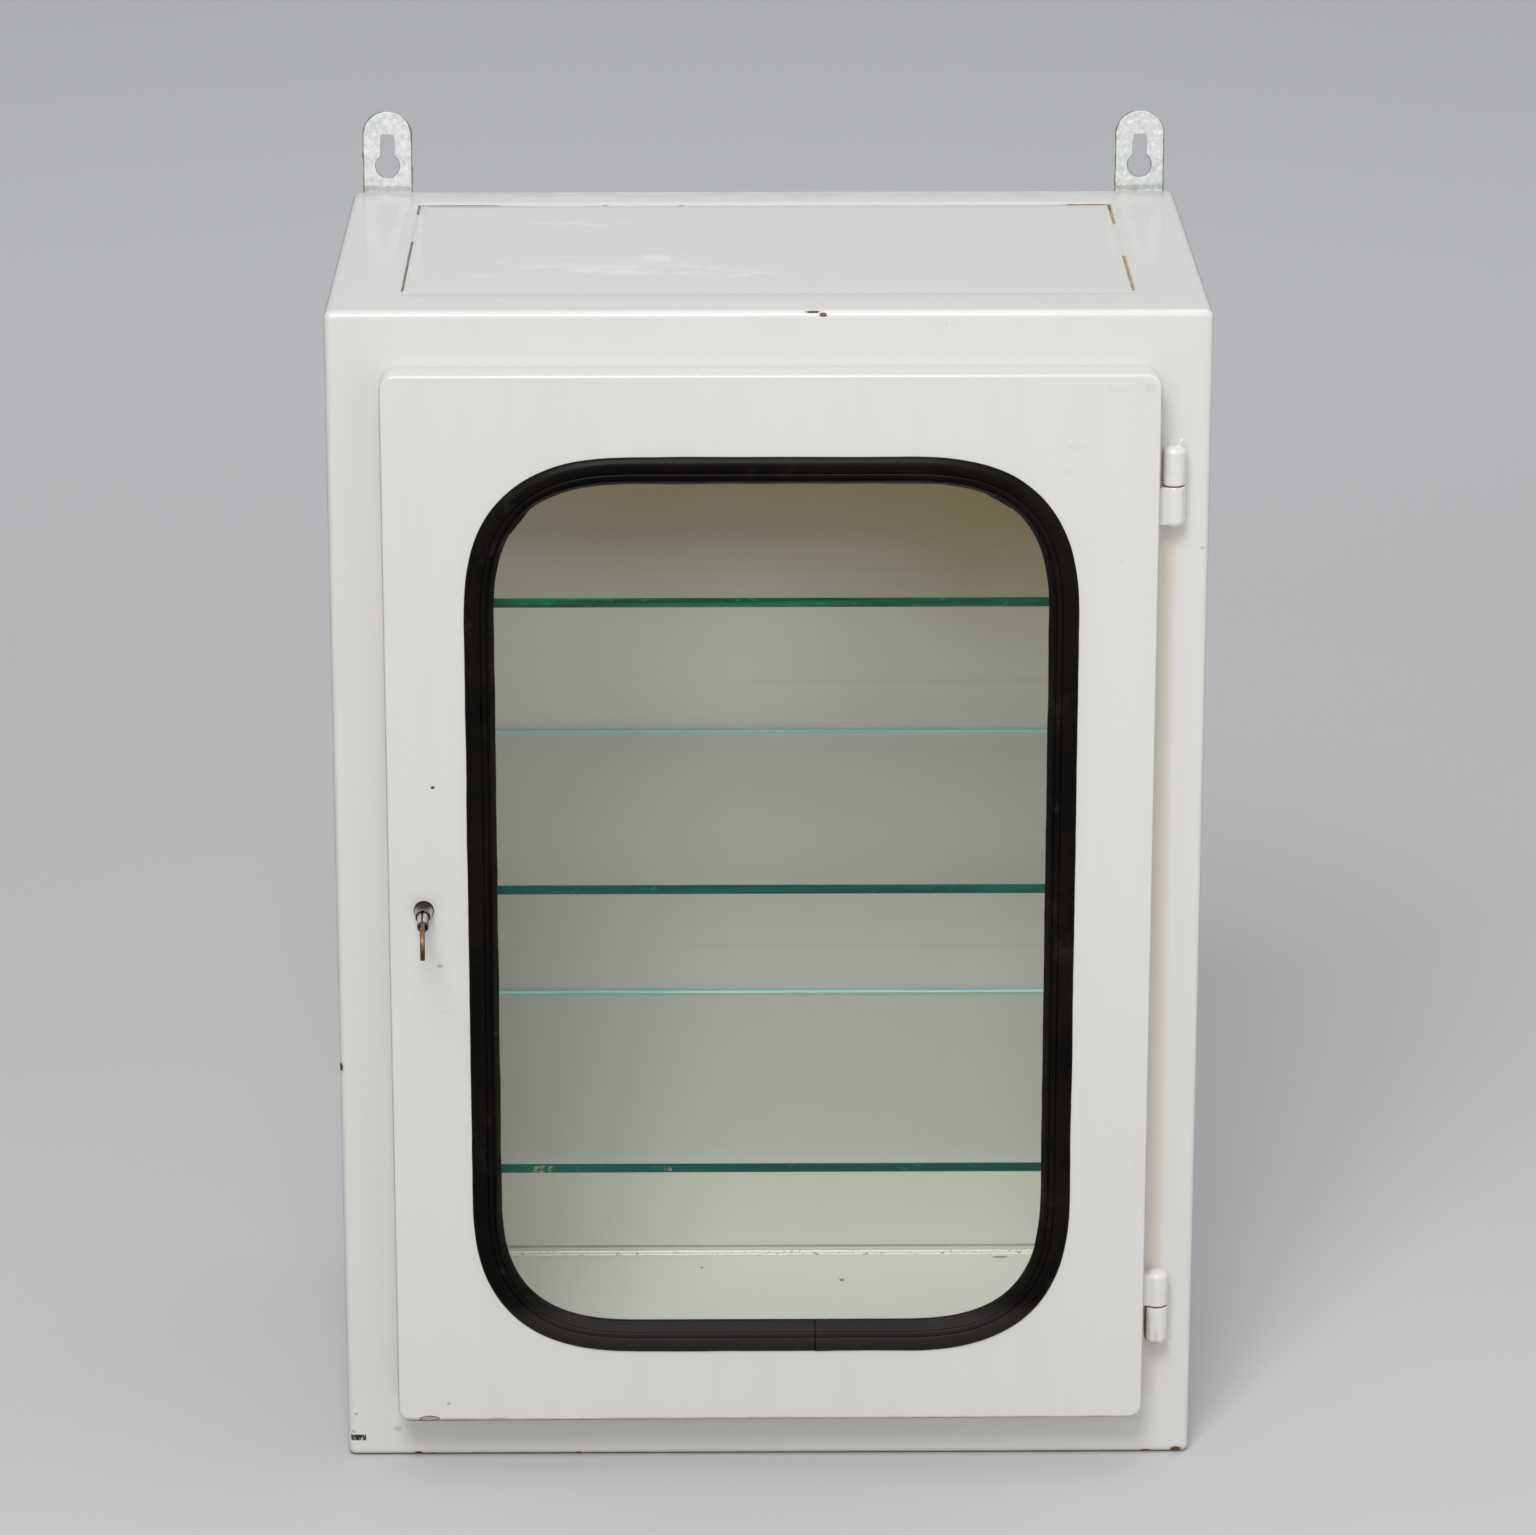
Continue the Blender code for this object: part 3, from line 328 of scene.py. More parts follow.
def new_group(name, inputs, outputs, kind="ShaderNodeTree"):
    """An empty group: its tree, what it is given by name, and the sockets of its result."""
    tree = bpy.data.node_groups.new(name, kind)
    for label, (socket_type, value) in inputs.items():
        socket = tree.interface.new_socket(label, in_out="INPUT",
                                           socket_type="NodeSocket" + socket_type)
        if value is not None:
            socket.default_value = value
    for label, socket_type in outputs.items():
        tree.interface.new_socket(label, in_out="OUTPUT", socket_type="NodeSocket" + socket_type)
    sockets = tree.nodes.new("NodeGroupInput").outputs
    given = {label: Term(tree, sockets[label]) for label in inputs}
    return tree, given, tree.nodes.new("NodeGroupOutput").inputs


# Shared surface effects

def build_film_group():
    """Brushed and aged enamel: its colour, its gloss and the height of its orange peel."""
    tree, given, result = new_group(
        "enamel_film",
        {"Vector": ("Vector", None), "Colour": ("Color", None), "Aged": ("Color", None),
         "Ageing": ("Float", 0.4), "Peel": ("Float", 0.01 * MM), "Gloss": ("Float", 0.25)},
        {"Colour": "Color", "Roughness": "Float", "Height": "Float"})
    place = given["Vector"]
    patches = cloud(place, 3.5, 1.0, 0.4).spread(0.30, 0.75)
    colour = mixed(tree, patches * given["Ageing"], given["Colour"], given["Aged"])
    runs = cloud(place, (60.0, 60.0, 3.0)).spread(0.42, 0.7)
    shade = mixed(tree, 1.0, colour, rgb((0.988, 0.986, 0.984)), blend_type="MULTIPLY")
    colour = mixed(tree, runs, colour, shade)
    distance, rare = sparse_dots(place, 70.0, 0, 0.93)
    speck = distance.spread(0.045, 0.02) * rare
    join(tree, mixed(tree, speck * 0.45, colour, rgb((0.30, 0.25, 0.19))), result["Colour"])
    dull = cloud(place, 7.0, 1.0).spread(0.30, 0.80, 0.0, 0.06)
    join(tree, given["Gloss"] + dull, result["Roughness"])
    peel = cloud(place, 330.0)
    sag = cloud(place, (26.0, 26.0, 9.0))
    dust = distance.spread(0.12, 0.02) * (rare * 3.0)
    join(tree, sag.times_plus(5.0, peel + dust) * given["Peel"], result["Height"])
    return tree


def build_patch_group():
    """A ragged patch round a point: the patch itself and the stain about it."""
    tree, given, result = new_group(
        "ragged_patch",
        {"Vector": ("Vector", None), "Centre": ("Vector", None), "Reach": ("Vector", None),
         "Ragged": ("Float", 0.6)},
        {"Mask": "Float", "Stain": "Float"})
    offset = given["Vector"]
    for operation, other in (("SUBTRACT", "Centre"), ("DIVIDE", "Reach")):
        node = add(tree, "ShaderNodeVectorMath", {0: offset, 1: given[other]}, operation=operation)
        offset = node.outputs["Vector"]
    node = add(tree, "ShaderNodeVectorMath", {0: offset}, operation="LENGTH")
    tear = cloud(given["Vector"], 420.0, 3.0, 0.6) - 0.5
    edge = tear.times_plus(given["Ragged"], node.outputs["Value"])
    join(tree, edge.spread(0.86, 1.0, 1.0, 0.0), result["Mask"])
    join(tree, edge.spread(0.8, 1.9, 1.0, 0.0), result["Stain"])
    return tree


def build_band_group():
    """A ragged line where a coordinate is near a value."""
    tree, given, result = new_group(
        "ragged_band",
        {"Vector": ("Vector", None), "Value": ("Float", 0.0), "Centre": ("Float", 0.0),
         "Width": ("Float", MM), "Ragged": ("Float", 1.0), "Scale": ("Float", 90.0)},
        {"Mask": "Float"})
    share = abs(given["Value"] - given["Centre"]) / given["Width"]
    tear = cloud(given["Vector"], given["Scale"], 4.0, 0.65) - 0.5
    edge = tear.times_plus(given["Ragged"], share)
    join(tree, edge.spread(0.35, 1.0, 1.0, 0.0), result["Mask"])
    return tree


def build_rust_group():
    """Brown to orange rust with a rough skin."""
    tree, given, result = new_group(
        "rust", {"Vector": ("Vector", None), "Bright": ("Float", 0.5)},
        {"Colour": "Color", "Height": "Float"})
    grain = cloud(given["Vector"], 520.0, 5.0, 0.7)
    flakes = cloud(given["Vector"], 130.0, 3.0, 0.6).spread(0.35, 0.7)
    dark = mixed(tree, grain.spread(0.35, 0.65), rgb((0.030, 0.015, 0.010)),
                 rgb((0.115, 0.048, 0.024)))
    join(tree, mixed(tree, flakes * given["Bright"], dark, rgb((0.42, 0.20, 0.065))),
         result["Colour"])
    join(tree, grain * (0.06 * MM), result["Height"])
    return tree


FILM = build_film_group()
PATCH = build_patch_group()
BAND = build_band_group()
RUST = build_rust_group()


class Surface:
    """A material whose colour, roughness and height are laid down layer by layer."""

    def __init__(self, name, sockets=None, colour=None, roughness=None, metallic=None):
        self.material = bpy.data.materials.new(name)
        self.material.use_nodes = True
        self.tree = self.material.node_tree
        self.tree.nodes.clear()
        self.place = Term(self.tree, add(self.tree, "ShaderNodeTexCoord").outputs["Object"])
        axes = add(self.tree, "ShaderNodeSeparateXYZ", {0: self.place}).outputs
        self.x, self.y, self.z = (Term(self.tree, axis) for axis in axes)
        self.colour = colour and rgb(colour)
        self.roughness = roughness
        self.metallic = metallic
        self.height = None
        self.sockets = sockets or {}

    def placed(self, group, **sockets):
        """What a group puts out in this material, by name."""
        outputs = add(self.tree, "ShaderNodeGroup", {"Vector": self.place, **sockets},
                      node_tree=group).outputs
        return {output.name: Term(self.tree, output) for output in outputs}

    def cloud(self, *settings):
        """The value of a noise texture at this place."""
        return cloud(self.place, *settings)

    def mottle(self, grain, limits, *finish):
        """Lay a finish in patches of noise, which begin and are full at the two limits."""
        self.lay(self.cloud(*grain).spread(*limits), *finish)

    def raise_by(self, height):
        """Add to the height that the light sees."""
        self.height = height if self.height is None else self.height + height

    def lay(self, mask, colour, roughness=None, amount=None, depth=0.0):
        """Another finish over what is there, where the mask says and as strongly as the amount."""
        if amount is not None:
            mask = mask * amount
        self.colour = mixed(self.tree, mask, self.colour, rgb(colour))
        if roughness is not None:
            node = add(self.tree, "ShaderNodeMix", {0: mask, 2: self.roughness, 3: roughness})
            self.roughness = Term(self.tree, node.outputs[0])
        if depth:
            self.raise_by(mask * depth)

    def film(self, colour, aged, ageing, peel, gloss):
        """Lay the enamel."""
        out = self.placed(FILM, Colour=rgb(colour), Aged=rgb(aged), Ageing=ageing, Peel=peel,
                          Gloss=gloss)
        self.colour, self.roughness = out["Colour"], out["Roughness"]
        self.raise_by(out["Height"])

    def rust(self, bright):
        """The colour of rust at this place."""
        return self.placed(RUST, Bright=bright)["Colour"]

    def patch(self, centre, reach, ragged=0.6, stain=False):
        """A ragged patch, or the stain about it."""
        out = self.placed(PATCH, Centre=centre, Reach=reach, Ragged=ragged)
        return out["Stain" if stain else "Mask"]

    def band(self, value, centre, width, ragged=1.0, scale=90.0):
        """A ragged line along a coordinate."""
        return self.placed(BAND, Value=value, Centre=centre, Width=width, Ragged=ragged,
                           Scale=scale)["Mask"]

    def chips(self, marks):
        """Places where the paint has come off, each with a brown stain round it."""
        for centre, reach in marks:
            out = self.placed(PATCH, Centre=centre, Reach=reach, Ragged=0.6)
            self.lay(out["Stain"], (0.36, 0.27, 0.19), amount=0.22)
            self.lay(out["Mask"], self.rust(0.25), 0.75, depth=-0.08 * MM)

    def done(self):
        """Join the layers to the shader."""
        shader = add(self.tree, "ShaderNodeBsdfPrincipled", self.sockets)
        for key, value in (("Base Color", self.colour), ("Roughness", self.roughness),
                           ("Metallic", self.metallic)):
            join(self.tree, value, shader.inputs[key])
        if self.height is not None:
            bump = add(self.tree, "ShaderNodeBump", {"Height": self.height, "Distance": 1.0})
            join(self.tree, bump.outputs[0], shader.inputs["Normal"])
        output = self.tree.nodes.new("ShaderNodeOutputMaterial")
        join(self.tree, shader.outputs[0], output.inputs[0])
        return self.material


WHITE = (0.70, 0.697, 0.676)
YELLOWED = (0.675, 0.660, 0.620)
INSIDE_WHITE = (0.770, 0.775, 0.715)
INSIDE_YELLOWED = (0.720, 0.705, 0.620)
WIPED_WHITE = (0.84, 0.845, 0.84)
RUBBED_GREY = (0.50, 0.50, 0.485)
GRIME = (0.20, 0.155, 0.11)
# Painted contact shadow and grime for the carcass's lower edge
CONTACT_SHADOW_AND_GRIME = (0.10, 0.075, 0.055)
SEAM_RUST = (0.45, 0.20, 0.05)
SEAM_FILLER_BROWN = (0.44, 0.29, 0.14)
# Painted warm shade for the frame beside the door's hinged edge
WARM_BOUNCE_SHADE = (0.60, 0.43, 0.29)
BARE_BLACK = (0.022, 0.016, 0.013)
BROWN_SPOT = (0.45, 0.27, 0.10)
PEEL = 0.011 * MM
ENAMEL_WAVE = 0.09 * MM

# Wiped patches on the top: place and reach in x and y, in millimetres
SMEARS = [(-85, -40.5, 70, 26), (-45, -57.5, 50, 22), (-124, 132.5, 34, 9),
          (-72, 126.5, 20, 8), (-105, 65.5, 34, 10), (-165, -65.5, 16, 8)]
# Spots in the top's back seam: place, reach along it and across it, in millimetres
SEAM_SPOTS = [(-183, 27, 1.7, (0.13, 0.11, 0.085)), (198, 12, 2.6, (0.45, 0.21, 0.05)),
              (186, 4, 2.0, (0.16, 0.09, 0.05)), (-96, 2.2, 1.6, BROWN_SPOT),
              (-50, 1.8, 1.4, BROWN_SPOT)]
# Chips on the frame: place and reach in x and z, in millimetres
FRAME_CHIPS = [(-249.6, 246, 1.6, 3.0), (-208.3, 1.2, 2.6, 1.5), (-200, 0.5, 4.0, 0.9),
               (-113, 0.8, 2.2, 1.1), (224.7, 0.9, 3.2, 1.2), (242.6, 2.2, 3.4, 1.8)]
# Faint marks: place and reach in x and z, in millimetres, and how strong they are
FRAME_MARKS = [(-244.8, 27, 1.4, 0.98, 0.5), (-246.5, 15.7, 1.6, 1.12, 0.4),
               (-220, 17.5, 2.6, 1.82, 0.3), (246.4, 559.6, 1.6, 1.12, 0.3)]
DOOR_MARKS = [(-189.2, 316.9, 1.9, 1.0, 0.55), (-188.9, 43.3, 1.1, 0.9, 0.5),
              (171.7, 624.9, 5.0, 1.4, 0.07), (169.2, 610.4, 2.4, 1.6, 0.05),
              (213.3, 659, 4.0, 3.0, 0.08), (195.4, 657.9, 7.0, 1.8, 0.05),
              (-187, 288, 2.6, 1.6, 0.06)]
# Specks on the inside floor: place and reach in x and y, in millimetres
FLOOR_SPECKS = [(49.3, 109.8, 1.7, 2.4), (183, 122, 1.2, 1.8), (-40, 131, 1.0, 1.4),
                (152, 147, 5.0, 1.6)]
# Dirt on the lowest shelf's front edge: place and reach in x, in millimetres
SHELF_DIRT = [(-133, 8), (-60, 3.4)]


def front_mark(x, z, reach_x, reach_z, y=FRONT):
    """Centre and reach of a mark on a front face, from millimetres."""
    return (x * MM, y, z * MM), mm(reach_x, 6, reach_z)


def faint_marks(skin, marks, y, ragged, colour):
    """Small grey marks on a front face."""
    for *mark, amount in marks:
        skin.lay(skin.patch(*front_mark(*mark, y), ragged), colour, amount=amount)


def enamel(name, coat, coat_roughness, *film):
    """A surface with enamel on it."""
    skin = Surface(name, {"Coat Weight": coat, "Coat Roughness": coat_roughness})
    skin.film(*film)
    return skin


def paint_carcass():
    """White enamel of the carcass, chipped at its edges, smeared and rusty at the top."""
    skin = enamel("carcass_enamel", 0.35, 0.08, WHITE, YELLOWED, 0.35, PEEL, 0.285)
    # Wiped and worn patches on the top
    on_top = skin.z.spread(HEIGHT - 2 * MM, HEIGHT - 0.5 * MM)
    swirls = skin.cloud((26.0, 60.0, 1.0), 5.0, 0.7, 1.2).spread(0.44, 0.64) * on_top
    for x, y, reach_x, reach_y in SMEARS:
        smear = skin.patch((x * MM, y * MM, HEIGHT), mm(reach_x, reach_y, 9), 1.6)
        skin.lay(smear * swirls, WIPED_WHITE, 0.40, 0.75)
    behind = skin.y.spread(TOP_BACK_SEAM + 14 * MM, BACK - 12 * MM)
    rubbed = skin.cloud((40.0, 90.0, 40.0), 4.0, 0.65).spread(0.36, 0.62)
    skin.lay(behind * rubbed * on_top, RUBBED_GREY, 0.5, 0.6)
    # Dirt and rust in the seams of the top
    seam_left = skin.band(skin.x, -TOP_SIDE_SEAM, 1.1 * MM, 0.7, 160.0)
    seam_right = skin.band(skin.x, TOP_SIDE_SEAM, 1.7 * MM, 1.0, 120.0)
    seam_back = skin.band(skin.y, TOP_BACK_SEAM, 1.2 * MM, 0.9, 120.0)
    beside = skin.y.within(TOP_FRONT_SEAM, TOP_BACK_SEAM, MM) * on_top
    between = skin.x.within(-TOP_SIDE_SEAM, TOP_SIDE_SEAM, MM) * on_top
    bridged_left = skin.y.within(*LEFT_FILLER, 3 * MM).spread(0.0, 1.0, 1.0, 0.2)
    bridged_right = skin.y.within(*RIGHT_FILLER, 3 * MM).spread(0.0, 1.0, 1.0, 0.1)
    dark_corner = skin.y.spread(96 * MM, 104 * MM)
    dark_end = skin.x.spread(-155 * MM, -165 * MM)
    rusty_end = skin.x.spread(165 * MM, 192 * MM)
    for mask, amount, colour in (
            (seam_left * beside * bridged_left, 0.8, skin.rust(0.5)),
            (seam_right * beside * bridged_right, 0.85, SEAM_FILLER_BROWN),
            (seam_right * beside * dark_corner, 0.8, GRIME),
            (seam_back * between * dark_end, 0.8, GRIME),
            (seam_back * between * rusty_end, 0.9, SEAM_RUST)):
        skin.lay(mask, colour, 0.8, amount)
    for x, along, across, colour in SEAM_SPOTS:
        spot = skin.patch((x * MM, TOP_BACK_SEAM - 0.4 * MM, HEIGHT), mm(along, across, 9), 0.9)
        skin.lay(spot * on_top, colour, 0.7, 0.85)
    # Painted warm shade on the frame along the door's hinged edge, standing in for the door's
    # shadow warmed by bounced light
    hinged_edge_shade = skin.band(skin.x, 227 * MM, 6 * MM, 0.8, 60.0)
    by_door = skin.z.within(50 * MM, 590 * MM, 30 * MM)
    faces_out = skin.y.spread(FRONT + 2 * MM, FRONT + MM)
    skin.lay(hinged_edge_shade * by_door * faces_out, WARM_BOUNCE_SHADE, amount=0.22)
    # Painted contact shadow and grime along the lower edge
    skin.lay(skin.band(skin.z, 0.0, 1.7 * MM, 0.9, 70.0), CONTACT_SHADOW_AND_GRIME, 0.7, 0.9)
    skin.chips([
        ((24.5 * MM, FRONT + 1.2 * MM, HEIGHT - 0.4 * MM), mm(4.6, 1.3, 1.2)),
        ((30.5 * MM, FRONT + 0.4 * MM, HEIGHT - 2.2 * MM), mm(2.4, 1.6, 1.2)),
        *(front_mark(*chip) for chip in FRAME_CHIPS),
    ])
    scrape_wide = skin.x.within(-248.2 * MM, -239.2 * MM, 0.25 * MM)
    scrape_high = skin.z.within(9.9 * MM, 13.6 * MM, 0.3 * MM)
    torn = skin.cloud((900.0, 300.0, 260.0), 4.0, 0.7).spread(0.36, 0.46)
    at_front = skin.y.spread(FRONT + 7 * MM, FRONT + 6 * MM)
    scrape = scrape_wide * scrape_high * torn * at_front
    skin.lay(scrape, BARE_BLACK, 0.7, depth=-0.1 * MM)
    faint_marks(skin, FRAME_MARKS, FRONT, 1.2, (0.22, 0.19, 0.16))
    skin.raise_by(skin.cloud(15.0, 1.0) * ENAMEL_WAVE)
    return skin.done()


def paint_door():
    """White enamel of the door, with a worn lower rim, dark lines of grime and painted shadow along
    its edges, and a few dents and chips.
    """
    skin = enamel("door_enamel", 0.35, 0.08, WHITE, YELLOWED, 0.30, PEEL, 0.285)
    # Brown wear on the underside of the lower fold, a dark line along it, and thin lines down both
    # edges; the dark lines are partly grime and partly painted shadow
    hinged_edge = DOOR_HIGH.x + DOOR_SPREAD
    for line, colour, roughness, amount in (
            ((skin.z, DOOR_LOW.z, 3.0 * MM, 0.8, 60.0), (0.36, 0.22, 0.14), 0.6, 0.7),
            ((skin.z, DOOR_LOW.z, 1.4 * MM, 1.0, 80.0), (0.10, 0.06, 0.035), 0.7, 0.85),
            ((skin.x, DOOR_LOW.x, 0.7 * MM, 1.3, 50.0), (0.25, 0.20, 0.15), 0.6, 0.55),
            ((skin.x, hinged_edge, 0.6 * MM, 1.4, 40.0), (0.28, 0.23, 0.18), 0.6, 0.45)):
        skin.lay(skin.band(*line), colour, roughness, amount)
    skin.chips([front_mark(-218.6, 665.3, 2.2, 2.6, DOOR_FACE + 3 * MM),
                front_mark(-192, 424.9, 1.3, 1.0, DOOR_FACE)])
    for reach_x, reach_z, colour in ((6.4, 1.9, (0.075, 0.045, 0.03)),
                                     (5.3, 1.15, (0.40, 0.37, 0.325))):
        bared = skin.patch(*front_mark(-200.3, 33.5, reach_x, reach_z, DOOR_FACE), 0.35)
        skin.lay(bared, colour, 0.5, 0.9, -0.05 * MM)
    faint_marks(skin, DOOR_MARKS, DOOR_FACE, 1.6, (0.19, 0.16, 0.13))
    # Dirt that the wiping has left round the lock
    nose = skin.patch((LOCK_X, DOOR_FACE, LOCK_Z - 0.6 * MM), mm(8.6, 5, 9.4), 0.5)
    skin.lay(nose, (0.36, 0.31, 0.25), 0.5, 0.08)
    skin.raise_by(skin.cloud(13.0, 1.0) * ENAMEL_WAVE)
    return skin.done()


def paint_inside():
    """Greyer enamel inside, rolled on in level strokes, with grit along the floor's back edge."""
    skin = enamel("inside_enamel", 0.25, 0.12, INSIDE_WHITE, INSIDE_YELLOWED, 0.55, 1.5 * PEEL,
                  0.29)
    # The floor is painted paler than the walls: painted light where light falls in through the
    # window
    on_floor = skin.z.spread(9 * MM, 6 * MM)
    skin.lay(on_floor, (0.83, 0.845, 0.775), 0.35)
    grit = (skin.band(skin.y, BACK - 4 * MM, 3 * MM, 0.8, 200.0)
            * skin.cloud(420.0).spread(0.62, 0.67))
    skin.lay(grit * on_floor, (0.16, 0.115, 0.06), 0.7, 0.85)
    for x, y, reach_x, reach_y in FLOOR_SPECKS:
        speck = skin.patch((x * MM, y * MM, SHEET), mm(reach_x, reach_y, 5), 0.9)
        skin.lay(speck, (0.14, 0.10, 0.055), 0.7, 0.8)
    strokes = skin.cloud((1.6, 3.0, 120.0), 3.0, 0.55) * skin.z.spread(8 * MM, 14 * MM)
    skin.lay(strokes.spread(0.56, 0.72), (0.40, 0.39, 0.32), amount=0.20)
    skin.raise_by(strokes * (0.05 * MM))
    return skin.done()


def paint_back_panel():
    """The inside enamel of the back, with painted light and shade in bands by height, warm painted
    shade at the top, and dirty along the floor.
    """
    # The back is painted darker than the walls inside: painted shade
    skin = enamel("back_panel_enamel", 0.4, 0.16, (0.525, 0.532, 0.490), (0.515, 0.515, 0.465),
                  0.35, 3.5 * PEEL, 0.30)
    # Painted light and shade by height: a lighter band low in the middle, a pale band higher up
    # that is less pale to the right, and a lighter strip near the floor
    pale_light_band = skin.z.within(352 * MM, 470 * MM, 14 * MM)
    skin.lay(skin.z.within(265 * MM, 345 * MM, 25 * MM), (0.585, 0.592, 0.545))
    skin.lay(pale_light_band, (0.785, 0.785, 0.73))
    skin.lay(pale_light_band * skin.x.spread(-30 * MM, 130 * MM), (0.66, 0.655, 0.60))
    skin.lay(skin.z.spread(75 * MM, 50 * MM), (0.62, 0.63, 0.58))
    # Painted shade and warm reflection at the top, yellow-brown, reaching lower to the right
    drift = skin.x.times_plus(0.20, skin.z)
    warm_top_shade = (skin.cloud(5.0) - 0.5).times_plus(0.10, drift)
    skin.lay(warm_top_shade.spread(0.42, 0.53), (0.43, 0.325, 0.14), amount=0.9)
    strokes = skin.cloud((1.2, 3.0, 240.0), 3.0, 0.55)
    skin.lay(strokes.spread(0.60, 0.74), (0.36, 0.35, 0.28), amount=0.16)
    skin.raise_by(strokes * (0.03 * MM))
    joint = skin.band(skin.z, 6.3 * MM, 1.2 * MM, 0.9, 40.0)
    skin.lay(joint, (0.22, 0.20, 0.16), 0.7, 0.7)
    return skin.done()


def paint_lugs():
    """Thick, rough paint on the lugs, greenish where it is thin, brown along the cut edges."""
    skin = enamel("lug_enamel", 0.4, 0.15, (0.72, 0.735, 0.73), (0.61, 0.63, 0.62), 0.7,
                  3.0 * PEEL, 0.30)
    for grain, limits, colour, roughness, amount in (
            ((270.0, 5.0, 0.75), (0.46, 0.62), (0.43, 0.45, 0.445), 0.5, 0.42),
            ((75.0, 4.0, 0.65), (0.55, 0.70), (0.42, 0.66, 0.57), None, 0.5),
            ((310.0, 3.0, 0.6), (0.54, 0.62), (0.84, 0.85, 0.84), None, 0.7),
            ((330.0, 5.0, 0.7), (0.62, 0.72), (0.22, 0.19, 0.155), 0.7, 0.5)):
        skin.mottle(grain, limits, colour, roughness, amount)
    low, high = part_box("left_hanging_lug")
    across = abs(skin.x) + (low.x + high.x) / 2
    over_shoulder = (skin.z - (high.z - LUG_SHOULDER)).most(0.0)
    over_hole = skin.z - (high.z - KEYHOLE_CENTRE_DROP)
    foot = (skin.z, HEIGHT + 1.5 * MM, 2.6 * MM, 1.6, 300.0)
    edge = (across.hypotenuse(over_shoulder), (high.x - low.x) / 2, 1.0 * MM, 1.5, 170.0)
    rim = (across.hypotenuse(over_hole), KEYHOLE_RADIUS, 0.9 * MM, 1.4, 230.0)
    skin.lay(skin.band(*foot), (0.25, 0.235, 0.21), 0.7, 0.5)
    skin.lay(skin.band(*edge), (0.12, 0.08, 0.05), 0.75, 0.85)
    skin.lay(skin.band(*rim), (0.14, 0.10, 0.07), 0.75, 0.6)
    skin.raise_by(skin.cloud(230.0, 4.0, 0.6) * (0.8 * MM))
    return skin.done()


def paint_hinges():
    """Paint run over the hinge barrels, with rust bleeding out of the split."""
    skin = enamel("hinge_enamel", 0.35, 0.1, (0.74, 0.735, 0.71), YELLOWED, 0.3, 2.0 * PEEL, 0.285)
    for node in ("upper_hinge_pin", "lower_hinge_pin"):
        low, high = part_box(node)
        split = skin.band(skin.z, (low.z + high.z) / 2, 0.75 * MM, 1.0, 260.0)
        skin.lay(split, (0.24, 0.13, 0.06), 0.75, 0.8)
    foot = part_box("upper_door_knuckle")[0]
    bleed = skin.patch((foot.x + 4 * MM, FRONT - 9 * MM, foot.z), mm(5, 7, 1.6), 1.0)
    skin.lay(bleed, (0.30, 0.16, 0.07), 0.8)
    low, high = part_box("lower_frame_knuckle")
    for x, z in ((low.x, low.z + 9 * MM), (low.x + 5 * MM, low.z)):
        bleed = skin.patch((x, FRONT - 8 * MM, z), mm(1.3, 7, 9), 0.9, stain=True)
        skin.lay(bleed, (0.42, 0.30, 0.17), 0.6, 0.35)
    # A brown line down the left of the barrels beside the gap to the door: partly rust-brown paint
    # and partly painted shade of that gap, darker on the lower hinge than on the upper
    left_edge = high.x - 2 * BARREL_RADIUS - BARREL_SHIFT - BARREL_PAINT
    side = skin.band(skin.x, left_edge + 0.3 * MM, 1.0 * MM, 0.5, 120.0)
    below = skin.z.spread(high.z + 1.2 * MM, high.z + 0.4 * MM)
    skin.lay(side * below, (0.13, 0.08, 0.045), 0.75, 0.85)
    upper_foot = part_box("upper_frame_knuckle")[0].z
    above = skin.z.spread(upper_foot - MM, upper_foot)
    skin.lay(side * above, (0.34, 0.23, 0.13), 0.75, 0.55)
    skin.raise_by(skin.cloud(260.0) * (0.05 * MM))
    return skin.done()


def paint_rubber(name, worn):
    """Aged black rubber, brownish, with fine lines along it and dust in the hollows."""
    skin = Surface(name, {"Specular IOR Level": 0.10}, (0.0030, 0.0025, 0.0020), 0.38)
    skin.mottle((14.0, 4.0, 0.6), (0.42, 0.66), (0.0105, 0.0072, 0.0054), None, 0.6)
    skin.mottle((38.0, 5.0, 0.7), (0.56, 0.78), (0.040, 0.036, 0.032), 0.55, worn)
    # Painted sheen: the lower run is painted lighter, standing in for the light it reflects
    lower = skin.z.spread(SEAL_LOW.z + 34 * MM, SEAL_LOW.z + 20 * MM)
    skin.lay(lower, (0.030, 0.026, 0.024), 0.5, 0.7)
    joint = skin.x.within(SEAL_JOINT_X - 0.5 * MM, SEAL_JOINT_X + 0.3 * MM, 0.15 * MM)
    skin.lay(joint * skin.z.spread(MID_Z, MID_Z - MM), (0.0012, 0.001, 0.001))
    distance, rare = sparse_dots(skin.place, 95.0, 1, 0.955)
    skin.lay(distance.spread(0.07, 0.03) * rare, (0.30, 0.29, 0.27), 0.7, 0.5)
    skin.raise_by(skin.cloud(600.0, 3.0, 0.6) * (0.02 * MM))
    skin.raise_by(skin.cloud(55.0) * (0.10 * MM))
    return skin.done()


def clear_glass(name, tint):
    """Clear glass that lets soft light through to what stands behind it."""
    skin = Surface(name, {"Transmission Weight": 1.0, "IOR": 1.5}, tint, 0.0)
    skin.raise_by(skin.cloud(9.0, 1.0) * (0.02 * MM))
    rays = add(skin.tree, "ShaderNodeLightPath").outputs
    unseen = Term(skin.tree, rays["Is Shadow Ray"]).most(rays["Is Diffuse Ray"])
    skin.sockets["Alpha"] = 1.0 - unseen
    return skin.done()


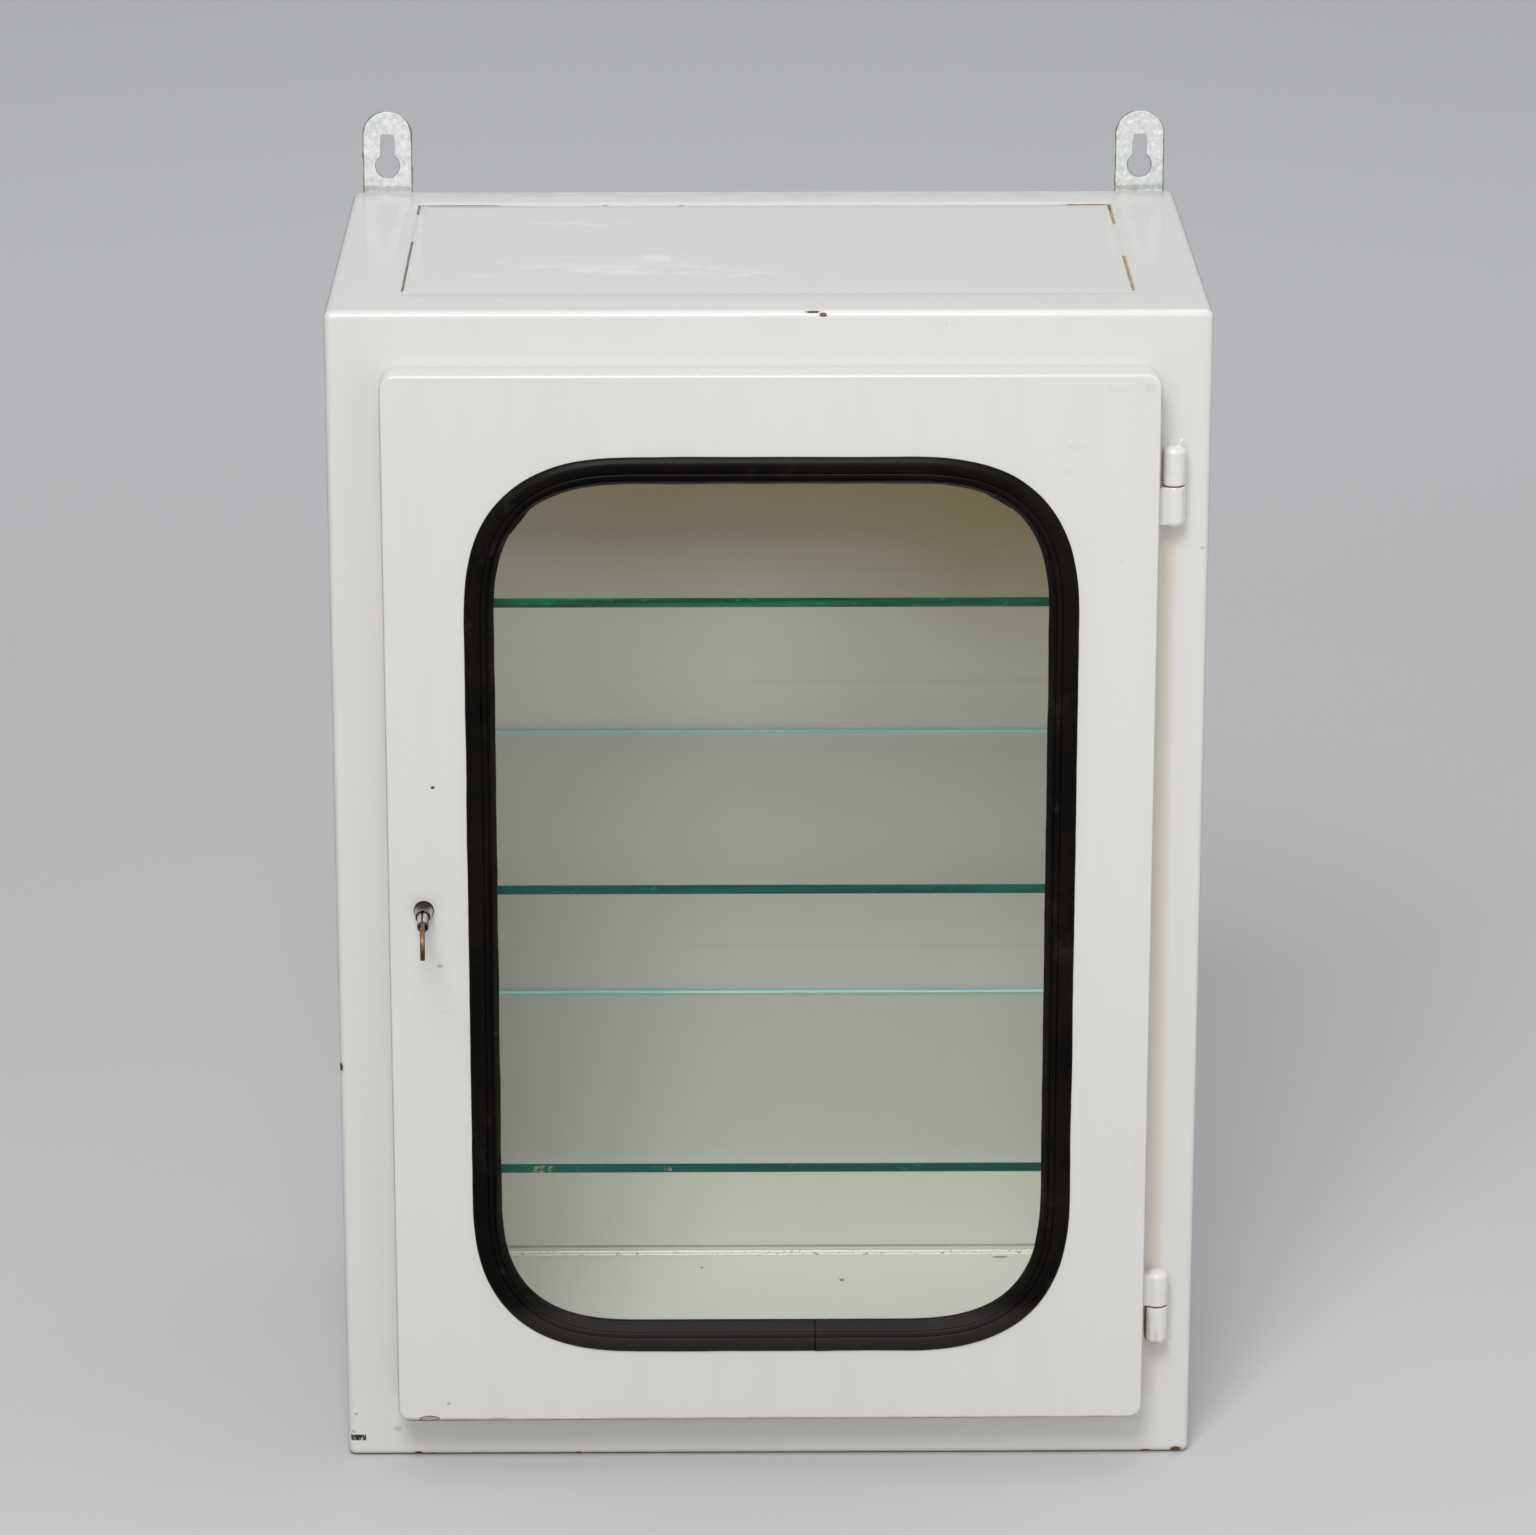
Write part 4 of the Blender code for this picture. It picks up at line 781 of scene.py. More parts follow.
def ground_edge(name, dark, light, roughness, glint_colour, low=None):
    """The green of a sheet of glass looked at through its edge, with painted glints where it is
    nicked.
    """
    skin = Surface(name, {"Specular IOR Level": 0.02}, dark, roughness)
    skin.mottle(((7.0, 40.0, 160.0), 4.0, 0.65), (0.38, 0.66), light)
    if low:
        skin.lay(skin.z.spread(450 * MM, 400 * MM), low, amount=0.6)
        ragged = skin.cloud(340.0).spread(0.46, 0.60)
        for x, reach in SHELF_DIRT:
            dirt = skin.patch((x * MM, FRONT + 12 * MM, 179 * MM), mm(reach, 30, 2.7), 0.9)
            skin.lay(dirt * ragged, (0.42, 0.33, 0.22), 0.6, 0.55)
    # Painted glints where the edge is nicked; the same noise gives the nicks their bump
    nicks = skin.cloud((130.0, 300.0, 500.0), 3.0, 0.7)
    skin.lay(nicks.spread(0.58, 0.68), glint_colour, amount=0.8)
    skin.raise_by(nicks * (0.08 * MM))
    return skin.done()


def bare_metal(name, colour, roughness, cover, limits, *tarnish):
    """Bare metal with tarnish in its hollows."""
    skin = Surface(name, None, colour, roughness, 1.0)
    skin.mottle(cover, limits, *tarnish)
    return skin


def scratch_metal(skin):
    """Fine turning marks."""
    skin.raise_by(skin.cloud((900.0, 150.0, 900.0), 3.0, 0.6) * (0.012 * MM))


def bow_brass():
    """Worn brass of the key's bow, brown in its hollows."""
    skin = bare_metal("bow_brass", (0.25, 0.175, 0.10), 0.58, (330.0, 4.0, 0.65), (0.42, 0.70),
                      (0.11, 0.070, 0.042), 0.83, 0.7)
    scratch_metal(skin)
    return skin.done()


def key_metal():
    """Bright worn steel of the key's tube, with dirt in its rolled seam and round its mouth."""
    skin = bare_metal("key_steel", (0.66, 0.645, 0.62), 0.20, (140.0, 3.0, 0.6), (0.45, 0.72),
                      (0.17, 0.13, 0.10), 0.45, 0.30)
    out = (NOSE_LOW.y - skin.y).most(0.0)
    middle = out.times_plus(math.tan(KEY_BEND), LOCK_X - 0.4 * MM)
    aside = abs(skin.x - middle)
    seam = aside.spread(0.75 * MM, 0.35 * MM) * skin.z.spread(LOCK_Z, LOCK_Z + MM)
    skin.lay(seam, (0.05, 0.035, 0.025), 0.5, 0.9)
    # Painted dark reflection down both flanks of the tube
    skin.lay(aside.spread(2.3 * MM, 3.0 * MM), (0.07, 0.05, 0.04), 0.5, 0.8)
    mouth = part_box("key_tube")[0].y - KEY_LENGTHENED
    skin.lay(skin.y.spread(mouth + 1.0 * MM, mouth + 0.4 * MM), (0.06, 0.04, 0.03), 0.5, 0.7)
    scratch_metal(skin)
    return skin.done()


def lock_metal():
    """Steel of the lock, dark round its outer part and black round its upper rim."""
    skin = bare_metal("lock_steel", (0.47, 0.465, 0.46), 0.30, (260.0, 4.0, 0.65), (0.42, 0.70),
                      (0.12, 0.10, 0.08), 0.5, 0.30)
    rise = skin.z - LOCK_Z
    radius = (skin.x - LOCK_X).hypotenuse(rise)
    rim = rise.times_plus(0.45, radius)
    skin.lay(rim.spread(5.6 * MM, 6.9 * MM), (0.025, 0.017, 0.013), 0.6, 0.94)
    skin.lay(radius.spread(5.15 * MM, 5.6 * MM), (0.045, 0.032, 0.025), 0.6, 0.8)
    return skin.done()


def rusty_steel():
    """Old steel that has rusted all over."""
    skin = Surface("rusty_steel", roughness=0.75)
    out = skin.placed(RUST, Bright=0.45)
    skin.colour = out["Colour"]
    skin.raise_by(out["Height"])
    return skin.done()


CARCASS_PAINT = paint_carcass()
DOOR_PAINT = paint_door()
INSIDE_PAINT = paint_inside()
BACK_PAINT = paint_back_panel()
LUG_PAINT = paint_lugs()
HINGE_PAINT = paint_hinges()
SEAL_RUBBER = paint_rubber("seal_rubber", 0.35)
FILLER_RUBBER = paint_rubber("filler_rubber", 0.55)
PANE_GLASS = clear_glass("pane_glass", (0.985, 0.995, 0.988))
SHELF_GLASS = clear_glass("shelf_glass", (0.965, 0.985, 0.975))
SHELF_FRONT = ground_edge("shelf_front_edge", (0.0, 0.036, 0.018), (0.0, 0.125, 0.058), 0.45,
                          (0.0, 0.20, 0.11), (0.0, 0.078, 0.072))
# The back edges are painted bright cyan with white painted glints: painted light along the glass
SHELF_BACK_PAINTED_GLOW = ground_edge("shelf_back_edge", (0.16, 0.84, 0.80), (0.62, 1.0, 0.98), 0.40,
                         (1.0, 1.0, 1.0))
LOCK_STEEL = lock_metal()
KEY_STEEL = key_metal()
BOW_BRASS = bow_brass()
RUSTY = rusty_steel()


# Mesh helpers

def arc(centre_x, centre_z, radius, first, steps, power=2.0):
    """Points of a quarter circle, or of a fuller quarter where the power is above two."""
    points = []
    for step in range(steps + 1):
        angle = math.radians(first + 90 * step / steps)
        across, up = math.cos(angle), math.sin(angle)
        points.append((centre_x + radius * math.copysign(abs(across) ** (2 / power), across),
                       centre_z + radius * math.copysign(abs(up) ** (2 / power), up)))
    return points


def ring(half_x, half_z, radius, across, up, steps, power=2.0):
    """Points round a rectangle with round corners, anticlockwise from the lower left."""
    flat_x, flat_z = half_x - radius, half_z - radius
    points = [(s * flat_x, -half_z) for s in across]
    points += arc(flat_x, -flat_z, radius, -90, steps, power)
    points += [(half_x, s * flat_z) for s in up]
    points += arc(flat_x, flat_z, radius, 0, steps, power)
    points += [(-s * flat_x, half_z) for s in across]
    points += arc(-flat_x, flat_z, radius, 90, steps, power)
    points += [(-half_x, -s * flat_z) for s in up]
    points += arc(-flat_x, -flat_z, radius, 180, steps, power)
    return points


def upright(y, middle_z, *settings):
    """A ring of points in an upright plane."""
    return [Vector((x, y, middle_z + z)) for x, z in ring(*settings)]


def bend(radius, steps):
    """How much of a quarter bend is left, and how much is done, at each step along it."""
    points = []
    for step in range(steps + 1):
        angle = math.radians(90 * step / steps)
        points.append((radius * (1 - math.sin(angle)), radius * (1 - math.cos(angle))))
    return points


def angles(count):
    """Even angles round a circle."""
    return [2 * math.pi * i / count for i in range(count)]


def outward_normals(points):
    """The way out of an anticlockwise closed line at each of its points."""
    normals = []
    for i, point in enumerate(points):
        before = Vector(point) - Vector(points[i - 1])
        after = Vector(points[(i + 1) % len(points)]) - Vector(point)
        along = before.normalized() + after.normalized()
        normals.append(Vector((along.y, -along.x)).normalized())
    return normals


def seal_ring(inset, across, up, steps):
    """Points round the window, a given way in from the seal's outer edge."""
    outer = ring(*SEAL_HALF, SEAL_CORNER, across, up, steps, SEAL_POWER)
    return [SEAL_CENTRE + Vector(point) - normal * inset
            for point, normal in zip(outer, outward_normals(outer))]


def even_stops(count, *extra):
    """Even places between -1 and 1, with extra ones put in on both sides."""
    stops = {round(-1 + 2 * (i + 1) / (count + 1), 5) for i in range(count)}
    for value in extra:
        stops |= {-value, value}
    return sorted(stops)


def loft(rows, ends=False):
    """A skin through rings of points that all have the same count."""
    shape = bmesh.new()
    made = [[shape.verts.new(point) for point in row] for row in rows]
    count = len(rows[0])
    for first, second in zip(made, made[1:]):
        for i in range(count):
            j = (i + 1) % count
            shape.faces.new((second[i], second[j], first[j], first[i]))
    if ends:
        shape.faces.new(made[0])
        shape.faces.new(list(reversed(made[-1])))
    return shape


def solid(rows, ends=True):
    """A closed body through rings of points: what lies together is merged, faces turn out."""
    shape = loft(rows, ends)
    bmesh.ops.remove_doubles(shape, verts=shape.verts, dist=0.000005)
    bmesh.ops.dissolve_degenerate(shape, edges=shape.edges, dist=0.000001)
    bmesh.ops.recalc_face_normals(shape, faces=shape.faces)
    return shape


def rings(stations, count, spot):
    """A closed body of rings: spot gives the place at an angle for a station's values."""
    return solid([[spot(angle, *station) for angle in angles(count)] for station in stations],
                 ends=False)


def block(low, high, ease=0.0):
    """A box between two corners, with its edges eased."""
    shape = bmesh.new()
    bmesh.ops.create_cube(shape, size=1.0)
    bmesh.ops.scale(shape, vec=high - low, verts=shape.verts)
    bmesh.ops.translate(shape, vec=(low + high) / 2, verts=shape.verts)
    if ease:
        bmesh.ops.bevel(shape, geom=shape.edges[:], offset=ease, segments=2, profile=0.5,
                        affect="EDGES")
    return shape


def ripple(shape, amount, scale, shift=0.0):
    """Move the surface in and out a little, by the place of each point."""
    shape.normal_update()
    moves = [v.normal * (noise.noise(v.co * scale + Vector((shift, 0, 0))) * amount)
             for v in shape.verts]
    for vert, move in zip(shape.verts, moves):
        vert.co += move


def to_mesh(name, shape):
    """Turn a bmesh into a mesh."""
    mesh = bpy.data.meshes.new(name)
    shape.to_mesh(mesh)
    shape.free()
    return mesh


def ripple_mesh(mesh, *ripples):
    """Move the surface of a mesh in and out a little."""
    shape = bmesh.new()
    shape.from_mesh(mesh)
    for settings in ripples:
        ripple(shape, *settings)
    shape.to_mesh(mesh)
    shape.free()


def absorb(shape, other):
    """Put another shape into this one."""
    mesh = to_mesh("other", other)
    shape.from_mesh(mesh)
    bpy.data.meshes.remove(mesh)


def link_object(name, data):
    """A new object in the scene."""
    item = bpy.data.objects.new(name, data)
    bpy.context.scene.collection.objects.link(item)
    return item


def evaluated(item, name):
    """The mesh of an object after its modifiers. The object is taken away."""
    bpy.context.view_layer.update()
    ready = item.evaluated_get(bpy.context.evaluated_depsgraph_get())
    result = bpy.data.meshes.new_from_object(ready)
    result.name = name
    bpy.data.objects.remove(item)
    return result


def worked(mesh, *modifiers):
    """The mesh after modifiers, each given as its type and settings."""
    item = link_object(mesh.name + "_work", mesh)
    for kind, settings in modifiers:
        modifier = item.modifiers.new(kind.lower(), kind)
        for key, value in settings.items():
            setattr(modifier, key, value)
    return evaluated(item, mesh.name)


def eased(width):
    """The modifier that rounds sharp edges."""
    return "BEVEL", {"width": width, "segments": 2, "limit_method": "ANGLE",
                     "angle_limit": math.radians(60)}


def thickened(finish_step):
    """The modifier that makes a skin as thick as the sheet, with another finish inside."""
    return "SOLIDIFY", {"thickness": SHEET, "offset": -1.0, "use_even_offset": True,
                        "material_offset": finish_step}


def combined(mesh, operation, shape):
    """The mesh with another shape cut out of it or joined to it."""
    tool = link_object("tool", to_mesh("tool", shape))
    result = worked(mesh, ("BOOLEAN", {"object": tool, "operation": operation}))
    bpy.data.objects.remove(tool)
    return result


def new_piece(name, form, body, finishes, nodes=(), sharp=35):
    """A finished piece, from a bmesh or a mesh, that rides on a body and stands for nodes."""
    mesh = to_mesh(name, form) if isinstance(form, bmesh.types.BMesh) else form
    piece = link_object(name, mesh)
    for finish in finishes[len(mesh.materials):]:
        mesh.materials.append(finish)
    mesh.shade_smooth()
    mesh.set_sharp_from_angle(angle=math.radians(sharp))
    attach(piece, body)
    if nodes:
        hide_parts(*nodes)


# Carcass

def make_carcass():
    """The folded shell: lip, front frame, walls and back flange in one skin of sheet."""
    across = even_stops(25, TOP_SIDE_SEAM / (HALF_WIDTH - WALL_CORNER), 0.97)
    up = even_stops(35, 0.98)
    # Each station is how far in from the wall, how far behind the front, and the corner radius
    stations = [(OPENING_INSET, LIP_DEPTH, OPENING_CORNER)]
    stations += [(OPENING_INSET - done, left, OPENING_CORNER + done)
                 for left, done in bend(LIP_BEND, 3)]
    face_from, face_to = OPENING_INSET - LIP_BEND, FOLD
    radius_from, radius_to = OPENING_CORNER + LIP_BEND, WALL_CORNER - FOLD
    stations += [(face_from + (face_to - face_from) * share, 0.0,
                  radius_from + (radius_to - radius_from) * share)
                 for share in (0.03, 0.12, 0.25, 0.4, 0.55, 0.7, 0.85, 0.96)]
    stations += [(left, done, WALL_CORNER - left) for left, done in bend(FOLD, 8)]
    hole_front, hole_back = TOP_FRONT_FLANGE, DEPTH - TOP_BACK_FLANGE
    depths = [FOLD + 0.6 * MM, 16 * MM, 32 * MM, hole_front]
    depths += [hole_front + (hole_back - hole_front) * i / 12 for i in range(1, 13)]
    depths += [hole_back + 14 * MM, DEPTH - FOLD - 8 * MM, DEPTH - FOLD - 0.6 * MM]
    stations += [(0.0, depth, WALL_CORNER) for depth in depths]
    stations += [(done, DEPTH - left, WALL_CORNER - done) for left, done in bend(FOLD, 6)]
    stations += [(FOLD + (BACK_FLANGE - FOLD) * share, DEPTH,
                  WALL_CORNER - FOLD + 1.5 * MM * share) for share in (0.05, 0.35, 0.7, 1.0)]
    shape = loft([upright(FRONT + depth, MID_Z, HALF_WIDTH - inset, MID_Z - inset, radius, across,
                          up, 6) for inset, depth, radius in stations])
    inside_hole = []
    for face in shape.faces:
        middle = face.calc_center_median()
        if (middle.z > HEIGHT - MM / 2 and abs(middle.x) < TOP_SIDE_SEAM
                and hole_front < middle.y - FRONT < hole_back):
            inside_hole.append(face)
    bmesh.ops.delete(shape, geom=inside_hole, context="FACES")
    ripple(shape, PAINT_WAVE, PAINT_WAVE_SCALE)
    ripple(shape, FINE_WAVE, FINE_WAVE_SCALE)
    sheet = to_mesh("carcass", shape)
    for finish in (CARCASS_PAINT, INSIDE_PAINT):
        sheet.materials.append(finish)
    new_piece("carcass", worked(sheet, thickened(1), eased(0.3 * MM)), "cabinet",
              [CARCASS_PAINT, INSIDE_PAINT], ["carcass_shell"])


def make_top_panel():
    """The panel let into the top: flush plate, turned-down rim and the lap under the flanges."""
    half_x = TOP_SIDE_SEAM - TOP_SEAM
    front, back = TOP_FRONT_SEAM, TOP_BACK_SEAM - TOP_SEAM
    middle_y, half_y = (front + back) / 2, (back - front) / 2
    edge = PLATE_EDGE
    lap_top = HEIGHT - SHEET - LAP_GAP
    # Each station is how much smaller than the panel, how far beyond its edge, and the height
    stations = [(0.4, 0, HEIGHT), (0.1, 0, HEIGHT), (0.0, -8 * MM, HEIGHT), (0.0, -edge, HEIGHT),
                (0.0, -edge * 0.3, HEIGHT - edge * 0.3), (0.0, 0.0, HEIGHT - edge),
                (0.0, 0.0, lap_top), (0.0, TOP_LAP, lap_top), (0.0, TOP_LAP, lap_top - SHEET),
                (0.4, 0.0, lap_top - SHEET)]
    across, up = even_stops(21), even_stops(13)
    rows = [[Vector((x, middle_y + y, z))
             for x, y in ring(half_x * (1 - shrink) + grow, half_y * (1 - shrink) + grow,
                              PLATE_CORNER, across, up, 2)] for shrink, grow, z in stations]
    # The front edge runs on without a seam, and the plate stands a hair proud of the flanges
    for point in sum(rows, []):
        if point.y < front + 1.2 * MM and point.z > lap_top + 0.1 * MM:
            point.y = front - FRONT_WELD
            point.z = HEIGHT - 0.1 * MM if point.z < HEIGHT - 0.2 * MM else HEIGHT
        if point.z > HEIGHT - 0.01 * MM:
            point.z += PLATE_PROUD
    shape = solid(rows)
    bmesh.ops.triangulate(shape, faces=[f for f in shape.faces if len(f.verts) > 4])
    ripple(shape, PAINT_WAVE, PAINT_WAVE_SCALE)
    new_piece("top_plate", shape, "cabinet", [CARCASS_PAINT], ["top_panel"])


def filler_bead(start, end):
    """A bead between two points, which swells and shrinks and tapers at both ends."""
    count = round((end - start).length / BEAD_STEP)
    along = (end - start).normalized()
    aside = along.cross(Vector((0, 0, 1)))
    rows = []
    for step in range(count + 1):
        share = step / count
        middle = start.lerp(end, share)
        taper = min(1.0, 8 * share, 8 * (1 - share)) ** 0.5
        swell = (0.8 + 0.5 * noise.noise(middle * 160.0)) * max(0.12, taper)
        if middle.x < WIDE_FILLER_END:
            swell *= WIDE_BEAD
        rows.append([middle + aside * (BEAD_HALF_WIDTH * swell * math.cos(angle))
                     + Vector((0, 0, BEAD_HEIGHT * swell * math.sin(angle)))
                     for angle in angles(8)])
    return solid(rows)


def make_seam_filler():
    """Beads of filler and paint that bridge the seams of the top panel in places."""
    back_y = TOP_BACK_SEAM - TOP_SEAM / 2
    side_x = TOP_SIDE_SEAM - TOP_SEAM / 2
    whole = bmesh.new()
    for start, end in ((Vector((BACK_FILLER[0], back_y, HEIGHT)),
                        Vector((BACK_FILLER[1], back_y, HEIGHT))),
                       (Vector((-side_x, LEFT_FILLER[0], HEIGHT)),
                        Vector((-side_x, LEFT_FILLER[1], HEIGHT))),
                       (Vector((side_x, RIGHT_FILLER[0], HEIGHT)),
                        Vector((side_x, RIGHT_FILLER[1], HEIGHT)))):
        absorb(whole, filler_bead(start, end))
    new_piece("top_seam_filler", whole, "cabinet", [CARCASS_PAINT], sharp=80)


def make_back_panel():
    """The back sheet, not quite flat, with its edges eased."""
    low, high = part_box("back_panel")
    half_x, half_z = (high.x - low.x) / 2, (high.z - low.z) / 2
    across, up = even_stops(23), even_stops(31)
    stations = [(shrink, 0.0, low.y) for shrink in (0.75, 0.5, 0.25)]
    stations += [(0.0, BACK_EDGE, low.y), (0.0, 0.0, low.y + BACK_EDGE),
                 (0.0, 0.0, high.y - BACK_EDGE), (0.0, BACK_EDGE, high.y)]
    stations += [(shrink, 0.0, high.y) for shrink in (0.25, 0.5, 0.75)]
    shape = solid([upright(y, (low.z + high.z) / 2, half_x * (1 - shrink) - inset,
                           half_z * (1 - shrink) - inset, BACK_CORNER, across, up, 2)
                   for shrink, inset, y in stations])
    shape.normal_update()
    for face in shape.faces:
        face.material_index = 1 if face.normal.y > 0.3 else 0
    ripple(shape, 0.10 * MM, 5.0)
    new_piece("back_sheet", shape, "cabinet", [BACK_PAINT, CARCASS_PAINT],
              ["back_panel"])


def make_floor_bead():
    """The painted bead of sealant along the joint of the floor and the back."""
    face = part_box("back_panel")[0].y
    far = HALF_WIDTH - SHEET - 1.5 * MM
    count = 160
    outline = [(0.0, 0.0), (-1.0, 0.0), (-0.92, 0.16), (-0.72, 0.27), (-0.45, 0.30),
               (-0.2, 0.24), (0.0, 0.15)]
    rows = []
    for i in range(count + 1):
        x = -far + 2 * far * i / count
        size = FLOOR_BEAD + 0.6 * MM * noise.noise(Vector((x * 60, 0, 0)))
        rows.append([Vector((x, face - 0.05 * MM + y * size, SHEET + 0.02 * MM + z * size))
                     for y, z in outline])
    shape = solid(rows)
    ripple(shape, 0.10 * MM, 260.0)
    new_piece("floor_bead", shape, "cabinet", [INSIDE_PAINT], sharp=60)


def make_rails():
    """Angle rails for the shelves, bent from sheet and open at their ends."""
    thick = RAIL_SHEET
    for node in [n for n in NODES if n.endswith("_rail")]:
        low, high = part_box(node)
        side = 1 if low.x > 0 else -1
        wall, inner = (high.x, low.x) if side > 0 else (low.x, high.x)
        outline = [(wall, low.z), (wall, high.z - thick)]
        outline += [(wall - side * done, high.z - left) for left, done in bend(thick, 3)[1:]]
        outline += [(inner, high.z), (inner, high.z - thick),
                    (wall - side * thick, high.z - thick), (wall - side * thick, low.z)]
        shape = solid([[Vector((x, low.y + (high.y - low.y) * i / 12, z)) for x, z in outline]
                       for i in range(13)])
        new_piece("bent_" + node, worked(to_mesh(node, shape), eased(0.25 * MM)), "cabinet",
                  [INSIDE_PAINT], [node])


# Lugs

def reach(outline, centre, angle):
    """How far a ray from the centre runs before it meets a closed outline."""
    direction = Vector((math.cos(angle), math.sin(angle)))
    best = 1.0
    for a, b in zip(outline, outline[1:] + outline[:1]):
        a, b = Vector(a) - centre, Vector(b) - centre
        along = b - a
        cross = direction.x * along.y - direction.y * along.x
        if abs(cross) < 1e-12:
            continue
        distance = (a.x * along.y - a.y * along.x) / cross
        share = (a.x * direction.y - a.y * direction.x) / cross
        if distance > 0 and -1e-6 <= share <= 1 + 1e-6:
            best = min(best, distance)
    return best


def keyhole_outline():
    """The keyhole about the middle of its round part, anticlockwise from the slot's foot."""
    top = KEYHOLE_CENTRE_DROP - SLOT_TOP_DROP
    neck = math.degrees(math.acos(SLOT_HALF / KEYHOLE_RADIUS))
    count = 40
    points = []
    for step in range(count + 1):
        angle = math.radians(180 - neck + (180 + 2 * neck) * step / count)
        points.append((KEYHOLE_RADIUS * math.cos(angle), KEYHOLE_RADIUS * math.sin(angle)))
    flat = SLOT_HALF - SLOT_CORNER
    points += arc(flat, top - SLOT_CORNER, SLOT_CORNER, 0, 5)
    points += arc(-flat, top - SLOT_CORNER, SLOT_CORNER, 90, 5)
    return points


def make_lug(node, seed):
    """A flat ear, thickly painted, with a keyhole filed out of round."""
    low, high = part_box(node)
    front, back = low.y, high.y
    middle_x, half = (low.x + high.x) / 2, (high.x - low.x) / 2
    centre_z = high.z - KEYHOLE_CENTRE_DROP
    top, foot = high.z - centre_z, low.z - centre_z
    outline = [(-half, foot + MM), (-half + MM, foot), (half - MM, foot), (half, foot + MM)]
    outline += arc(half - LUG_SHOULDER, top - LUG_SHOULDER, LUG_SHOULDER, 0, 10)
    outline += arc(-half + LUG_SHOULDER, top - LUG_SHOULDER, LUG_SHOULDER, 90, 10)
    hub = Vector((0.0, LUG_HUB_RISE))
    hole = keyhole_outline()
    rays = []
    for angle in angles(144):
        way = Vector((math.cos(angle), math.sin(angle)))
        rough = noise.noise(Vector((way.x * 3 + seed, way.y * 3, 0.0)))
        fine = noise.noise(Vector((way.x * 11, way.y * 11 + seed, 0.0)))
        rays.append((way, reach(hole, hub, angle) + (0.35 * rough + 0.3 * fine) * MM,
                     reach(outline, hub, angle) + 0.22 * rough * MM))
    ease = LUG_EDGE
    # Each station is the share of the way from the keyhole to the rim, a shift along it, and y
    stations = [(0.0, 0.0, back - ease), (0.0, 0.0, front + ease),
                (0.0, ease * 0.3, front + ease * 0.3), (0.0, ease, front)]
    stations += [(share, 0.0, front) for share in (0.2, 0.35, 0.5, 0.65, 0.8, 0.9)]
    stations += [(1.0, -ease, front), (1.0, -ease * 0.3, front + ease * 0.3),
                 (1.0, 0.0, front + ease), (1.0, 0.0, back - ease), (1.0, -ease, back)]
    stations += [(share, 0.0, back) for share in (0.8, 0.5, 0.2)]
    stations += [(0.0, ease, back), (0.0, 0.0, back - ease)]
    rows = []
    for share, shift, y in stations:
        spots = [hub + way * (near + (far - near) * share + shift) for way, near, far in rays]
        rows.append([Vector((middle_x + spot.x, y, centre_z + spot.y)) for spot in spots])
    name = "painted_" + node
    mesh = worked(to_mesh(name, solid(rows, ends=False)),
                  ("SUBSURF", {"levels": 1, "render_levels": 1}))
    ripple_mesh(mesh, (*LUG_LUMPS, seed), (*LUG_WAVES, seed + 3))
    new_piece(name, mesh, "cabinet", [LUG_PAINT], [node], sharp=70)


# Door

def make_door():
    """The door's pan: sheet round the window, round folds, returns and turned-in back flange."""
    across, up = even_stops(21, 0.97), even_stops(31, 0.98)
    corner_steps = 16
    half_x, half_z = DOOR_HALF
    hole = seal_ring(SEAL_LIP + HOLE_EDGE, across, up, corner_steps)
    fold_line = ring(half_x - DOOR_FOLD, half_z - DOOR_FOLD, DOOR_CORNER - DOOR_FOLD, across, up,
                     corner_steps)
    rows = []
    for share in (0.0, 0.05, 0.2, 0.4, 0.6, 0.8, 0.93, 0.985):
        spots = [inner.lerp(Vector(outer) + Vector((0.0, MID_Z)), share)
                 for inner, outer in zip(hole, fold_line)]
        rows.append([Vector((spot.x, DOOR_FACE, spot.y)) for spot in spots])
    depth = DOOR_BACK - DOOR_FACE
    stations = [(left, done, DOOR_CORNER - left) for left, done in bend(DOOR_FOLD, 8)]
    stations += [(0.0, DOOR_FOLD + 0.5 * MM, DOOR_CORNER), (0.0, depth / 2, DOOR_CORNER)]
    stations += [(done, depth - left, DOOR_CORNER - done)
                 for left, done in bend(DOOR_RETURN_BEND, 4)]
    stations += [(DOOR_RETURN * share, depth, DOOR_CORNER - DOOR_RETURN_BEND)
                 for share in (0.3, 0.65)]
    stations.append((DOOR_RETURN, depth, 2 * MM))
    rows += [upright(DOOR_FACE + y, MID_Z, half_x - inset, half_z - inset, radius, across, up,
                     corner_steps) for inset, y, radius in stations]
    shape = loft(rows)
    for vert in shape.verts:
        to_right = vert.co.x / half_x
        vert.co.x += DOOR_SPREAD * max(0.0, to_right)
        low_share = max(0.0, (MID_Z - vert.co.z) / half_z) ** 4
        vert.co.z += DOOR_LIFT * low_share * (0.5 + 0.5 * to_right)
    ripple(shape, PAINT_WAVE, PAINT_WAVE_SCALE, 5.0)
    ripple(shape, FINE_WAVE, FINE_WAVE_SCALE, 2.0)
    mesh = worked(to_mesh("door", shape), thickened(0))
    drill = bmesh.new()
    bmesh.ops.create_cone(drill, cap_ends=True, segments=32, radius1=SLEEVE_HOLE,
                          radius2=SLEEVE_HOLE, depth=8 * MM, matrix=outwards_from_door())
    new_piece("door_shell", combined(mesh, "DIFFERENCE", drill), "door",
              [DOOR_PAINT], ["door_pan"])


